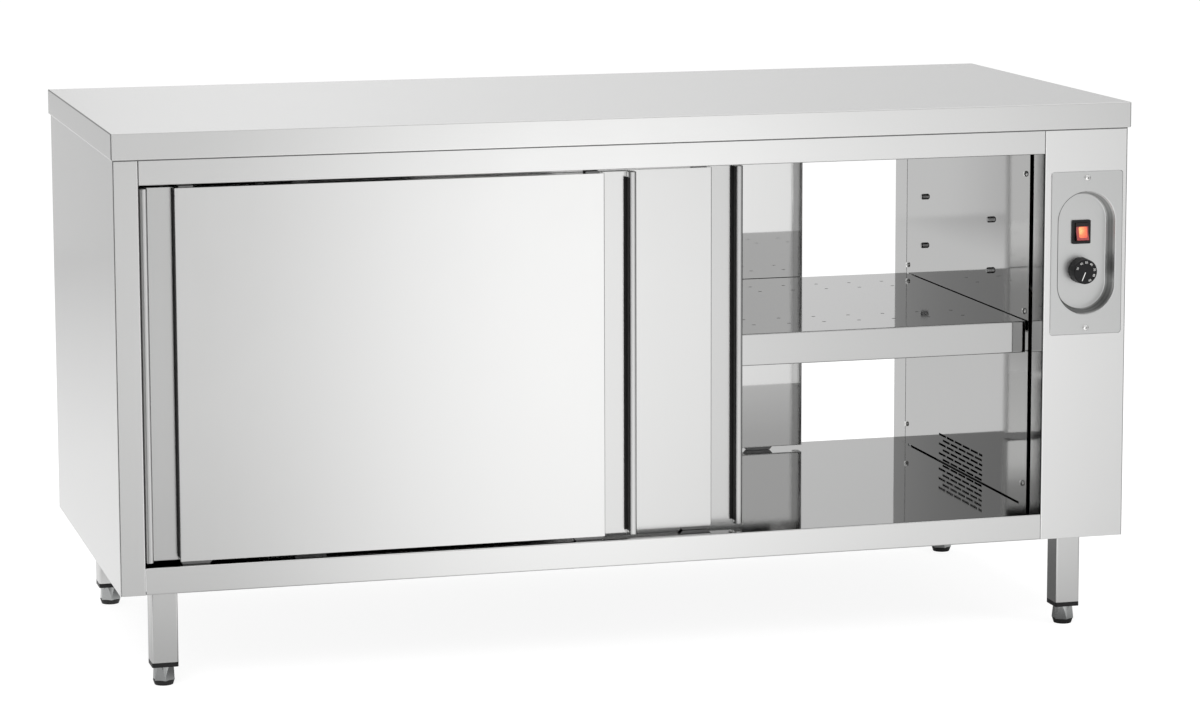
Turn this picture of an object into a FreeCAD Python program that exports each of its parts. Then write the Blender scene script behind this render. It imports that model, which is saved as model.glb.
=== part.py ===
import FreeCAD, Part
import math
import os
from types import SimpleNamespace

import Sketcher

# A free-standing plate warmer cabinet: a folded sheet steel body on four square legs, open to the front and
# to the rear through sliding doors, with one shelf and a heater compartment behind the control column.
# X is the width, Y the depth with the front at -Y, Z is up. The origin is on the floor under the middle.

doc = FreeCAD.newDocument("plate_warmer_cabinet")
sheet = doc.addObject("Spreadsheet::Sheet", "Sizes")

SIZES = {
    # overall
    "worktop_width": 1600,
    "worktop_depth": 700,
    "worktop_edge": 40,
    "worktop_gauge": 1.5,
    "worktop_return": 20,
    "worktop_corner": 2,
    "worktop_bend": 1.5,
    "side_overhang": 3,
    "front_overhang": 6,
    "body_height": 650,
    "leg_clearance": 152,
    "panel_gauge": 1,
    "panel_bend": 2,
    "joint_gap": 0.4,
    "fit_gap": 0.2,
    "overrun": 5,
    # frame round the doors
    "stile_width": 38,
    "column_width": 138,
    "top_rail_height": 38.5,
    "floor_edge": 40.5,
    "front_return": 46,
    "rear_return": 59,
    "frame_flange": 20,
    "rail_hem": 8,
    "rail_shelf": 65,
    # inner walls and ceiling
    "wall_front_inset": 63,
    "wall_rear_inset": 61,
    "wall_slot": 2,
    "wall_slot_front": 31,
    "wall_slot_rear": 13,
    "ceiling_drop": 37,
    "post_width": 25,
    "post_depth": 20,
    "post_gauge": 1.5,
    "screw_front_inset": 17,
    "screw_rear_inset": 6,
    "screw_top_drop": 41,
    "screw_bottom_rise": 35,
    "screw_middle_rise": 312.5,
    # doors
    "door_width": 757,
    "door_gap": 6,
    "door_side_gap": 2,
    "door_recess": 6,
    "door_pitch": 30,
    "door_thickness": 22,
    "door_gauge": 1,
    "door_nest": 8,
    "lip_width": 12,
    "lip_round": 5,
    "channel_bend": 1.5,
    "channel_width": 39,
    "channel_depth": 17,
    "front_inner_open": 478.5,
    "rear_inner_open": 186,
    # door rollers, hangers and tracks
    "roller_radius": 9.5,
    "groove_radius": 7.5,
    "groove_width": 2.1,
    "groove_flare": 0.7,
    "roller_width": 8,
    "axle_radius": 2.5,
    "axle_fit": 0.05,
    "hanger_inset": 69,
    "hanger_width": 22,
    "hanger_gauge": 3,
    "hanger_setback": 1,
    "glide_inset": 76,
    "glide_length": 50,
    "glide_depth": 12,
    "glide_rake": 5,
    "glide_clear": 0.5,
    "track_gauge": 1.5,
    "track_inset": 11,
    "track_margin": 2,
    "track_trough": 6.75,
    "track_lip": 6,
    "track_rise": 4,
    # shelf
    "shelf_edge": 50,
    "shelf_return": 15,
    "shelf_side_clear": 3,
    "shelf_front_clear": 9,
    "shelf_rear_clear": 3,
    "shelf_end_flange": 19,
    "stud_rise": 274,
    "stud_pitch": 83,
    "stud_front": 167,
    "stud_rear": 88,
    "stud_radius": 5,
    "stud_reach": 7,
    "stud_shank_radius": 2.5,
    "stud_shank": 8,
    # stiffening hats
    "hat_crown": 40,
    "hat_height": 20,
    "hat_foot": 15,
    "shelf_hat_spread": 167,
    "worktop_hat_spread": 180,
    "floor_hat_spread": 140,
    "hat_end_clear": 60,
    # legs and feet
    "leg_size": 40,
    "leg_gauge": 1.5,
    "leg_corner": 3,
    "leg_side_inset": 55,
    "leg_front_inset": 51.5,
    "cap_height": 7,
    "cap_plug": 25,
    "foot_pad_height": 7.5,
    "foot_pad_bottom_radius": 14,
    "foot_pad_top_radius": 16.5,
    "foot_sleeve_height": 22,
    "foot_sleeve_top_radius": 15,
    "foot_sleeve_bottom_radius": 17.5,
    "foot_sleeve_flats": 30,
    "spindle_radius": 5,
    "spindle_length": 105,
    # control column
    "plate_width": 120,
    "plate_height": 258,
    "plate_drop": 67,
    "plate_inset": 10.5,
    "plate_gauge": 1.5,
    "plate_corner": 5,
    "plate_bevel": 1,
    "recess_width": 95,
    "recess_height": 193,
    "recess_depth": 23,
    "recess_draft": 5,
    "recess_bend": 2,
    "plate_screw_spread": 118.5,
    "control_spread": 30.4,
    "bezel_width": 31,
    "bezel_height": 37.5,
    "bezel_thick": 3,
    "bezel_corner": 2,
    "switch_width": 27,
    "switch_height": 33,
    "switch_depth": 24,
    "rocker_width": 21,
    "rocker_height": 27.5,
    "rocker_clear": 0.6,
    "rocker_pivot": 1.5,
    "rocker_valley": 3.5,
    "rocker_crest": 6,
    "rocker_root": 6,
    "rocker_root_half": 8,
    "rocker_well": 13,
    "knob_radius": 20.5,
    "knob_face_radius": 19.5,
    "knob_bevel": 1.5,
    "knob_clear": 0.8,
    "knob_flute_radius": 4,
    "knob_flute_bite": 0.8,
    "shaft_radius": 3,
    "shaft_reach": 14,
    "shaft_root": 8,
    "thermostat_size": 44,
    "thermostat_depth": 28,
    # heater behind the right inner wall
    "slot_length": 33,
    "slot_height": 3.8,
    "slot_pitch": 37.5,
    "slot_row_pitch": 8.2,
    "grille_rear_inset": 166,
    "grille_rise": 3.1,
    "heater_width": 75,
    "heater_depth": 230,
    "heater_height": 138,
    "heater_margin": 13,
    "heater_gauge": 1,
    "fan_size": 120,
    "fan_thick": 38,
    "fan_bore_radius": 57,
    "fan_wall": 4,
    "fan_hub_radius": 22,
    "fan_blade_radius": 55,
    "fan_blade_gauge": 1.6,
    "fan_blade_height": 24,
    "fan_strut": 6,
    "fan_gap": 1,
    "fan_pin_radius": 2,
    "fan_rise": 9,
    "element_radius": 4.25,
    "element_bend": 15,
    "element_run": 150,
    "element_tail": 28,
    "probe_radius": 3,
    "probe_length": 70,
    "capillary_radius": 1.2,
    "capillary_bend": 18,
    "capillary_out": 30,
    "probe_rise": 112,
    "probe_inset": 15,
    "terminal_length": 60,
    "terminal_depth": 20,
    "terminal_height": 22,
    "terminal_bore_radius": 3,
    "gland_radius": 8,
    "gland_nut_radius": 13,
    "gland_nut_height": 6,
    "gland_drop": 26,
    "gland_inset": 83,
    # screws
    "screw_head_radius": 4.6,
    "screw_head_height": 2.4,
    "screw_radius": 2,
    "screw_length": 10,
    "screw_clear": 0.2,
}

# Counts, angles, shares and tolerances
STUD_LEVELS = 3
GRILLE_ROWS = 6
GRILLE_COLUMNS = 5
KNOB_FLUTES = 12
FAN_BLADES = 7
ELEMENT_RUNS = 4
ROCKER_TILT = -10
COVER_SCREW_SHARES = (1 / 8, 3 / 8, 5 / 8, 7 / 8)
SAME_POINT = 1e-6
LEAST_CUT = 1e-3


class Size:
    """A length known both as a number and as the text that an expression binds to the sheet."""

    def __init__(self, value, text):
        self.value = value
        self.text = text

    def combine(self, other, sign, work):
        other = as_size(other)
        return Size(work(self.value, other.value), f"({self.text} {sign} {other.text})")

    def __add__(self, other):
        return self.combine(other, "+", lambda a, b: a + b)

    def __sub__(self, other):
        return self.combine(other, "-", lambda a, b: a - b)

    def __mul__(self, other):
        return self.combine(other, "*", lambda a, b: a * b)

    def __truediv__(self, other):
        return self.combine(other, "/", lambda a, b: a / b)

    def __radd__(self, other):
        return as_size(other) + self

    def __rsub__(self, other):
        return as_size(other) - self

    def __rmul__(self, other):
        return as_size(other) * self

    def __neg__(self):
        return self * -1


def as_size(number):
    return number if isinstance(number, Size) else Size(number, repr(number))


S = SimpleNamespace()


def write_cell(name, content, value):
    """Writes one named row of the sheet, and keeps it as a member of S."""
    row = len(vars(S)) + 1
    sheet.set(f"A{row}", name)
    sheet.set(f"B{row}", content)
    sheet.setAlias(f"B{row}", name)
    setattr(S, name, Size(value, f"Sizes.{name}"))


def derive(name, size):
    write_cell(name, "=" + size.text.replace("Sizes.", ""), size.value)


for size_name, size_value in SIZES.items():
    write_cell(size_name, str(size_value), size_value)

# Planes of the body, measured from the driving sizes.
derive("half_width", S.worktop_width / 2 - S.side_overhang)
derive("half_depth", S.worktop_depth / 2 - S.front_overhang)
derive("body_top", S.leg_clearance + S.body_height)
derive("total_height", S.body_top + S.worktop_edge)
derive("opening_left", S.stile_width - S.half_width)
derive("opening_right", S.half_width - S.column_width)
derive("opening_top", S.body_top - S.top_rail_height)
derive("floor_top", S.leg_clearance + S.floor_edge)
derive("door_bottom", S.floor_top + S.door_gap)
derive("door_top", S.opening_top - S.door_gap)
derive("ceiling_bottom", S.body_top - S.ceiling_drop)
derive("wall_front", S.wall_front_inset - S.half_depth)
derive("wall_rear", S.half_depth - S.wall_rear_inset)
derive("rail_top_low", S.body_top - S.panel_gauge)
derive("track_top", S.rail_top_low - S.track_gauge)
derive("track_bottom", S.opening_top + S.track_rise)
derive("lip_top", S.track_bottom + S.track_lip)
derive("axle_height", S.lip_top + S.groove_radius + S.fit_gap)
derive("track_line", S.track_inset + S.track_trough - S.track_gauge / 2)
derive("stud_low", S.floor_top + S.stud_rise)
derive("shelf_top", S.stud_low + S.stud_radius + S.fit_gap + S.shelf_end_flange)
derive("shelf_front", S.door_recess + S.door_pitch + S.door_thickness + S.shelf_front_clear - S.half_depth)
derive("shelf_rear", S.half_depth - S.door_recess - S.door_pitch - S.door_thickness - S.shelf_rear_clear)
derive("shelf_left", S.opening_left + S.shelf_side_clear)
derive("shelf_right", S.opening_right - S.shelf_side_clear)
derive("leg_x", S.worktop_width / 2 - S.leg_side_inset - S.leg_size / 2)
derive("leg_y", S.worktop_depth / 2 - S.leg_front_inset - S.leg_size / 2)
derive("cap_low", S.foot_pad_height + S.foot_sleeve_height + S.fit_gap)
derive("tube_low", S.cap_low + S.cap_height)
derive("plate_x", S.opening_right + S.plate_inset + S.plate_width / 2)
derive("plate_z", S.body_top - S.plate_drop - S.plate_height / 2)
derive("recess_floor", S.recess_depth - S.half_depth)
derive("recess_back", S.recess_floor + S.plate_gauge)
derive("switch_z", S.plate_z + S.control_spread)
derive("knob_z", S.plate_z - S.control_spread)
derive("heater_rear", S.wall_rear - S.grille_rear_inset + S.heater_margin)
derive("heater_front", S.heater_rear - S.heater_depth)
derive("heater_left", S.opening_right + S.panel_gauge)
derive("heater_right", S.heater_left + S.heater_width)
derive("fan_y", S.heater_rear - S.heater_depth / 2)
derive("fan_z", S.floor_top + S.fan_rise + S.fan_size / 2)
derive("element_x", S.heater_left + S.heater_width / 2)
derive("probe_x", S.heater_right - S.probe_inset)
derive("gland_y", S.wall_rear - S.gland_inset)
doc.recompute()

FRONT, REAR = -1, 1
LEFT, RIGHT = -1, 1
parts = {}


def bind(item, **sizes):
    """Binds properties of an object to sizes; a double underscore in a name stands for a full stop."""
    for name, size in sizes.items():
        item.setExpression(name.replace("__", "."), as_size(size).text)


def place(item, x=0, y=0, z=0, turn=None):
    """Puts an object at a point, turned by a rotation."""
    if turn is not None:
        item.Placement = FreeCAD.Placement(FreeCAD.Vector(), turn)
    bind(item, Placement__Base__x=x, Placement__Base__y=y, Placement__Base__z=z)


def turned(axis, degrees):
    return FreeCAD.Rotation(axis, degrees)


X_AXIS = FreeCAD.Vector(1, 0, 0)
Y_AXIS = FreeCAD.Vector(0, 1, 0)


def new_body(label):
    body = doc.addObject("PartDesign::Body", label)
    body.Label = label
    return body


def kept(item, label=None):
    """Marks an object as a sub-part that gets a file of its own."""
    if label is not None:
        item.Label = label
    parts[item.Label] = item
    return item


def sketch_on(body, plane, offset):
    """An empty sketch on one of the body's own planes, offset along that plane's normal."""
    sketch = body.newObject("Sketcher::SketchObject", body.Label + "_sketch")
    support = next(item for item in body.Origin.OriginFeatures if item.Role == plane + "_Plane")
    sketch.AttachmentSupport = [(support, "")]
    sketch.MapMode = "FlatFace"
    bind(sketch, AttachmentOffset__Base__z=offset)
    return sketch


def pin(sketch, edge, end, point):
    """Holds one end of an edge, or an arc's centre, at a point; a lone size holds it sideways only."""
    for kind, size in zip(("DistanceX", "DistanceY"), point):
        size = as_size(size)
        number = sketch.addConstraint(Sketcher.Constraint(kind, -1, 1, edge, end, size.value))
        sketch.setExpression(f"Constraints[{number}]", size.text)


def radius_of(sketch, edge, size):
    number = sketch.addConstraint(Sketcher.Constraint("Radius", edge, size.value))
    sketch.setExpression(f"Constraints[{number}]", size.text)


def vector(point):
    return FreeCAD.Vector(as_size(point[0]).value, as_size(point[1]).value, 0)


def along(a, b):
    """The unit step from corner a to corner b, for edges that lie along an axis."""
    step = vector(b) - vector(a)
    return [round(step.x / step.Length), round(step.y / step.Length)]


def outline(sketch, corners):
    """Draws a closed outline. A corner is (x, y), or (x, y, radius) where square edges meet in an arc."""
    spans = []
    count = len(corners)
    for here in range(count):
        corner = corners[here]
        if len(corner) == 2:
            spans.append((corner, corner, None))
            continue
        x, y, radius = corner
        back = along(corner, corners[here - 1])
        on = along(corner, corners[(here + 1) % count])
        arc_in = (x + radius * back[0], y + radius * back[1])
        arc_out = (x + radius * on[0], y + radius * on[1])
        centre = vector((x + radius * (back[0] + on[0]), y + radius * (back[1] + on[1])))
        left_turn = back[0] * on[1] - back[1] * on[0] < 0
        spans.append((arc_in, arc_out, (as_size(radius), centre, left_turn)))
    ends = []
    for here in range(count):
        arc_in, arc_out, arc = spans[here]
        if arc is not None:
            radius, centre, left_turn = arc
            first, last = (arc_in, arc_out) if left_turn else (arc_out, arc_in)
            angles = [math.atan2((vector(p) - centre).y, (vector(p) - centre).x) for p in (first, last)]
            circle = Part.Circle(centre, FreeCAD.Vector(0, 0, 1), radius.value)
            edge = sketch.addGeometry(Part.ArcOfCircle(circle, *angles), False)
            radius_of(sketch, edge, radius)
            start, stop = (1, 2) if left_turn else (2, 1)
            ends.append(((edge, start), (edge, stop), arc_in))
        following = spans[(here + 1) % count][0]
        if (vector(following) - vector(arc_out)).Length > SAME_POINT:
            edge = sketch.addGeometry(Part.LineSegment(vector(arc_out), vector(following)), False)
            ends.append(((edge, 1), (edge, 2), arc_out))
    for here, (begin, finish, start_point) in enumerate(ends):
        next_begin = ends[(here + 1) % len(ends)][0]
        sketch.addConstraint(Sketcher.Constraint("Coincident", *finish, *next_begin))
        pin(sketch, *begin, start_point)


def circles(sketch, centres, radius):
    radius = as_size(radius)
    for centre in centres:
        circle = Part.Circle(vector(centre), FreeCAD.Vector(0, 0, 1), radius.value)
        edge = sketch.addGeometry(circle, False)
        radius_of(sketch, edge, radius)
        pin(sketch, edge, 3, centre)


def draw(sketch, shapes):
    """Draws outlines, given as lists of corners, and circles, given as (centres, radius)."""
    for shape in shapes:
        if isinstance(shape, tuple):
            circles(sketch, *shape)
        else:
            outline(sketch, shape)


def add(body, plane, low, high, *shapes):
    """Pads outlines on a plane between two places along its normal axis."""
    before = -as_size(high) if plane == "XZ" else low
    sketch = sketch_on(body, plane, before)
    draw(sketch, shapes)
    pad = body.newObject("PartDesign::Pad", body.Label + "_pad")
    pad.Profile = sketch
    bind(pad, Length=high - as_size(low))
    return pad


def cut(body, plane, low, high, *shapes):
    """Pockets outlines on a plane between two places along its normal axis."""
    before = -as_size(low) if plane == "XZ" else high
    sketch = sketch_on(body, plane, before)
    draw(sketch, shapes)
    pocket = body.newObject("PartDesign::Pocket", body.Label + "_pocket")
    pocket.Profile = sketch
    bind(pocket, Length=high - as_size(low))
    pocket_checks.append(pocket)
    return pocket


pocket_checks = []


def revolve(body, corners):
    """Turns an outline of (radius, height) corners about the body's Z axis."""
    sketch = sketch_on(body, "XZ", 0)
    outline(sketch, corners)
    turn = body.newObject("PartDesign::Revolution", body.Label + "_turn")
    turn.Profile = sketch
    turn.ReferenceAxis = (sketch, ["V_Axis"])
    turn.Angle = 360
    return turn


def loft(body, kind, plane, sections):
    """Lofts between outlines, each given as (offset along the plane's normal, corners)."""
    sketches = []
    for offset, corners in sections:
        sketch = sketch_on(body, plane, offset)
        outline(sketch, corners)
        sketches.append(sketch)
    feature = body.newObject("PartDesign::" + kind, body.Label + "_loft")
    feature.Profile = sketches[0]
    feature.Sections = sketches[1:]
    feature.Ruled = True
    return feature


def rectangle(x_low, x_high, y_low, y_high, radius=None):
    corners = [(x_low, y_low), (x_high, y_low), (x_high, y_high), (x_low, y_high)]
    return corners if radius is None else [(x, y, radius) for x, y in corners]


def centred(x, y, width, height, radius=None):
    return rectangle(x - width / 2, x + width / 2, y - height / 2, y + height / 2, radius)


def folded(path, gauge):
    """The section of a folded sheet: the path is its outside, and the sheet lies to the path's left,
    or to its right where the gauge is negative. Folds are square, and may carry a radius."""
    steps = [along(a, b) for a, b in zip(path, path[1:])]
    inside = []
    for here, corner in enumerate(path):
        near = steps[max(here - 1, 0)]
        far = steps[min(here, len(steps) - 1)]
        lefts = [(-near[1], near[0]), (-far[1], far[0])]
        if near == far:
            lefts = lefts[:1]
        x, y = (corner[k] + gauge * sum(left[k] for left in lefts) for k in (0, 1))
        if len(corner) == 3:
            turn = near[0] * far[1] - near[1] * far[0]
            inside.append((x, y, corner[2] - gauge * turn))
        else:
            inside.append((x, y))
    return list(path) + inside[::-1]


def group(label, members):
    """One sub-part made of separate copies of a form: members are (form, x, y, z, rotation)."""
    links = []
    for form, x, y, z, turn in members:
        link = doc.addObject("App::Link", label + "_item")
        link.LinkedObject = form
        place(link, x, y, z, turn if turn is not None else FreeCAD.Rotation())
        links.append(link)
    compound = doc.addObject("Part::Compound", label)
    compound.Links = links
    return kept(compound, label)


def depth(side, inset):
    """The Y place at a distance inside the front or rear face of the body."""
    return side * (S.half_depth - inset)


# Worktop: one folded tray, open below between its returned edges.
def worktop():
    body = new_body("worktop")
    half_x = S.worktop_width / 2
    half_y = S.worktop_depth / 2
    gauge = S.worktop_gauge
    block = add(body, "XY", S.body_top, S.total_height,
                rectangle(-half_x, half_x, -half_y, half_y, S.worktop_corner))
    doc.recompute()
    heights = [face.CenterOfMass.z for face in block.Shape.Faces]
    flat_faces = [f"Face{heights.index(level) + 1}" for level in (min(heights), max(heights))]
    edges = body.newObject("PartDesign::Fillet", "worktop_bends")
    edges.Base = (block, flat_faces)
    bind(edges, Radius=S.worktop_bend)
    body.Tip = edges
    cut(body, "XY", S.body_top + gauge, S.total_height - gauge,
        rectangle(gauge - half_x, half_x - gauge, gauge - half_y, half_y - gauge))
    edge = S.worktop_return
    cut(body, "XY", S.body_top - S.overrun, S.body_top + gauge,
        rectangle(edge - half_x, half_x - edge, edge - half_y, half_y - edge))
    kept(body)


# Stiffening hats: a crown between two feet that are welded to the sheet above.
def hat_form(label, length):
    body = new_body(label)
    half = S.hat_crown / 2
    foot = half + S.hat_foot
    low = S.panel_gauge - S.hat_height
    path = [(-foot, 0), (-half, 0), (-half, low), (half, low), (half, 0), (foot, 0)]
    add(body, "YZ", 0, length, folded(path, -S.panel_gauge))
    return body


def stiffeners():
    long_hat = hat_form("worktop_hat", S.worktop_width - S.hat_end_clear)
    floor_hat = hat_form("floor_hat", S.opening_right - S.opening_left - S.hat_end_clear)
    members = []
    for side in (FRONT, REAR):
        members.append((long_hat, (S.hat_end_clear - S.worktop_width) / 2, side * S.worktop_hat_spread,
                        S.total_height - S.worktop_gauge, None))
        members.append((floor_hat, S.opening_left + S.hat_end_clear / 2, side * S.floor_hat_spread,
                        S.floor_top - S.panel_gauge, None))
    group("stiffeners", members)


def plate_screw_places():
    """The (X, Z) places of the screws above and below the recess of the control plate."""
    return [(S.plate_x, S.plate_z + side * S.plate_screw_spread) for side in (-1, 1)]


def cover_screw_places():
    """The (X, Z) places of the screws down the edge of the rear cover."""
    return [(S.half_width - S.frame_flange / 2, S.leg_clearance + S.body_height * share)
            for share in COVER_SCREW_SHARES]


# Side panels: each is folded round its corners into the stiles beside the doors.
def side_panels():
    gauge, bend = S.panel_gauge, S.panel_bend
    left = new_body("left_side_panel")
    outer = -S.half_width
    path = [
        (S.opening_left, depth(FRONT, S.front_return)),
        (S.opening_left, depth(FRONT, 0), bend),
        (outer, depth(FRONT, 0), bend),
        (outer, depth(REAR, 0), bend),
        (S.opening_left, depth(REAR, 0), bend),
        (S.opening_left, depth(REAR, S.rear_return)),
    ]
    add(left, "XY", S.leg_clearance, S.body_top, folded(path, -gauge))
    flange = rectangle(outer + gauge / 2, outer + S.frame_flange,
                       depth(FRONT, gauge / 2), depth(REAR, gauge / 2), bend - gauge / 2)
    add(left, "XY", S.leg_clearance, S.leg_clearance + gauge, flange)
    add(left, "XY", S.body_top - gauge, S.body_top, flange)
    kept(left)

    right = new_body("right_side_panel")
    outer = S.half_width
    path = [
        (S.opening_right, depth(FRONT, S.front_return)),
        (S.opening_right, depth(FRONT, 0), bend),
        (outer, depth(FRONT, 0), bend),
        (outer, depth(REAR, gauge), bend),
        (outer - S.frame_flange, depth(REAR, gauge)),
    ]
    add(right, "XY", S.leg_clearance, S.body_top, folded(path, gauge))
    flange = rectangle(outer - S.frame_flange, outer - gauge / 2, depth(FRONT, gauge / 2),
                       depth(REAR, gauge + gauge / 2), bend - gauge / 2)
    add(right, "XY", S.leg_clearance, S.leg_clearance + gauge, flange)
    add(right, "XY", S.body_top - gauge, S.body_top, flange)
    wall = 2 * S.plate_gauge + 2 * S.fit_gap
    width = S.recess_width + wall
    cut(right, "XZ", depth(FRONT, -S.overrun), depth(FRONT, S.overrun),
        centred(S.plate_x, S.plate_z, width, S.recess_height + wall, width / 2),
        (plate_screw_places(), S.screw_radius + S.screw_clear))
    cut(right, "XZ", depth(REAR, S.overrun), depth(REAR, -S.overrun),
        (cover_screw_places(), S.screw_radius + S.screw_clear))
    kept(right)


# Top rails: a face, a hem under the doors' tracks and a shelf on top that carries the tracks and the ceiling.
def top_rails():
    members = []
    for side, grow in ((FRONT, -1), (REAR, 1)):
        body = new_body("front_rail" if side == FRONT else "rear_rail")
        path = [
            (depth(side, S.rail_hem), S.opening_top),
            (depth(side, 0), S.opening_top, S.panel_bend),
            (depth(side, 0), S.body_top, S.panel_bend),
            (depth(side, S.rail_shelf), S.body_top),
        ]
        add(body, "YZ", S.opening_left + S.joint_gap, S.opening_right - S.joint_gap,
            folded(path, grow * S.panel_gauge))
        members.append((body, 0, 0, 0, None))
    group("top_rails", members)


# Floor: its long edges are folded down into the bottom rails, and its plate runs on under both inner walls
# and closes the stiles and the control column from below.
def floor_pan():
    body = new_body("floor_pan")
    bend = S.panel_bend
    path = [
        (depth(FRONT, S.frame_flange), S.leg_clearance),
        (depth(FRONT, 0), S.leg_clearance, bend),
        (depth(FRONT, 0), S.floor_top, bend),
        (depth(REAR, 0), S.floor_top, bend),
        (depth(REAR, 0), S.leg_clearance, bend),
        (depth(REAR, S.frame_flange), S.leg_clearance),
    ]
    add(body, "YZ", S.opening_left + S.joint_gap, S.opening_right - S.joint_gap, folded(path, -S.panel_gauge))
    clear = S.panel_gauge + S.fit_gap
    front = depth(FRONT, S.front_return + S.fit_gap)
    rear = depth(REAR, S.rear_return + S.fit_gap)
    low = S.floor_top - S.panel_gauge
    add(body, "XY", low, S.floor_top, rectangle(clear - S.half_width, S.half_width - clear, front, rear))
    near, far = depth(FRONT, clear), depth(REAR, clear + S.panel_gauge)
    add(body, "XY", low, S.floor_top, rectangle(clear - S.half_width, S.opening_left - clear, near, far, bend))
    add(body, "XY", low, S.floor_top, rectangle(S.opening_right + clear, S.half_width - clear, near, far, bend))
    cut(body, "XY", S.floor_top - S.overrun, S.floor_top + S.overrun,
        ([(S.plate_x, S.gland_y)], S.gland_radius + S.fit_gap))
    kept(body)


# Ceiling: a shallow tray whose long edges stand up to the top rails.
def ceiling_panel():
    body = new_body("ceiling_panel")
    inset = S.rail_shelf - S.panel_gauge
    path = [
        (depth(FRONT, inset), S.rail_top_low),
        (depth(FRONT, inset), S.ceiling_bottom),
        (depth(REAR, inset), S.ceiling_bottom),
        (depth(REAR, inset), S.rail_top_low),
    ]
    add(body, "YZ", S.opening_left + S.joint_gap, S.opening_right - S.joint_gap, folded(path, S.panel_gauge))
    kept(body)


# Inner walls, their posts, screws and shelf studs. Places are (Y, Z) on a wall.
def screw_places():
    front = S.wall_front + S.screw_front_inset
    rear = S.wall_rear - S.screw_rear_inset
    low = S.floor_top + S.screw_bottom_rise
    middle = S.floor_top + S.screw_middle_rise
    high = S.ceiling_bottom - S.screw_top_drop
    return [(y, z) for y in (front, rear) for z in (low, middle, high)]


def stud_places():
    ys = (S.wall_front + S.stud_front, S.wall_rear - S.stud_rear)
    return [(y, S.stud_low + step * S.stud_pitch) for y in ys for step in range(STUD_LEVELS)]


def grille(body, low, high):
    """Brick-bonded slots near the floor: rows of full slots, every second row ending in a half slot."""
    rear = S.wall_rear - S.grille_rear_inset
    for row in range(GRILLE_ROWS):
        shifted = row % 2 == 0
        bottom = S.floor_top + S.grille_rise + row * S.slot_row_pitch
        first = rear - S.slot_pitch / 2 if shifted else rear
        slots = [rectangle(first - column * S.slot_pitch - S.slot_length, first - column * S.slot_pitch,
                           bottom, bottom + S.slot_height) for column in range(GRILLE_COLUMNS)]
        if not shifted:
            end = first - GRILLE_COLUMNS * S.slot_pitch
            slots.append(rectangle(end - S.slot_length / 2, end, bottom, bottom + S.slot_height))
        cut(body, "YZ", low, high, *slots)


def inner_wall(side):
    label = "left_inner_wall" if side == LEFT else "right_inner_wall"
    body = new_body(label)
    face = S.opening_left if side == LEFT else S.opening_right
    outside = side * (S.half_width - S.panel_gauge - S.fit_gap)
    if side == RIGHT:
        outside = face + S.post_depth
    path = [(outside, S.wall_front), (face, S.wall_front), (face, S.wall_rear), (outside, S.wall_rear)]
    gauge = S.panel_gauge * (1 if side == LEFT else -1)
    add(body, "XY", S.floor_top, S.ceiling_bottom - S.fit_gap, folded(path, gauge))
    near, far = face - S.overrun, face + S.overrun
    cut(body, "YZ", near, far,
        rectangle(S.wall_front + S.wall_slot_front, S.wall_rear - S.wall_slot_rear,
                  S.floor_top - S.overrun, S.floor_top + S.wall_slot))
    cut(body, "YZ", near, far, (screw_places(), S.screw_radius + S.screw_clear),
        (stud_places(), S.stud_shank_radius + S.screw_clear))
    if side == RIGHT:
        grille(body, near, far)
    kept(body)


def wall_posts():
    members = []
    for side in (LEFT, RIGHT):
        face = S.opening_left if side == LEFT else S.opening_right
        back = face + side * S.panel_gauge
        for end in (FRONT, REAR):
            edge = (S.wall_front if end == FRONT else S.wall_rear) - end * (S.panel_gauge + S.fit_gap)
            post = new_body("wall_post")
            path = [(back + side * (S.post_depth - S.overrun), edge), (back, edge),
                    (back, edge - end * S.post_width)]
            add(post, "XY", S.floor_top + S.fit_gap, S.ceiling_bottom - S.fit_gap,
                folded(path, S.post_gauge * side * end))
            places = [place for place in screw_places()
                      if (place[0].value < 0) == (end == FRONT)]
            cut(post, "YZ", back - S.overrun, back + S.overrun, (places, S.screw_radius + S.screw_clear))
            members.append((post, 0, 0, 0, None))
    group("wall_posts", members)


def screw_form():
    body = new_body("pan_screw")
    head, rise, shank = S.screw_head_radius, S.screw_head_height, S.screw_radius
    revolve(body, [(0, -S.screw_length), (shank, -S.screw_length), (shank, 0), (head, 0), (head, rise / 3),
                   (head * 2 / 3, rise), (0, rise)])
    return body


def stud_form():
    body = new_body("stud")
    revolve(body, [(0, -S.stud_shank), (S.stud_shank_radius, -S.stud_shank), (S.stud_shank_radius, 0),
                   (S.stud_radius, 0), (S.stud_radius, S.stud_reach * 3 / 4),
                   (S.stud_radius * 3 / 4, S.stud_reach), (0, S.stud_reach)])
    return body


def screws_and_studs():
    screw, stud = screw_form(), stud_form()
    facing = {LEFT: turned(Y_AXIS, 90), RIGHT: turned(Y_AXIS, -90)}
    screws, studs = [], []
    for side, face in ((LEFT, S.opening_left), (RIGHT, S.opening_right)):
        screws += [(screw, face, y, z, facing[side]) for y, z in screw_places()]
        studs += [(stud, face, y, z, facing[side]) for y, z in stud_places()]
    plate_face = depth(FRONT, -S.plate_gauge)
    screws += [(screw, x, plate_face, z, turned(X_AXIS, 90)) for x, z in plate_screw_places()]
    screws += [(screw, x, depth(REAR, 0), z, turned(X_AXIS, -90)) for x, z in cover_screw_places()]
    group("panel_screws", screws)
    group("shelf_studs", studs)


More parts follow.
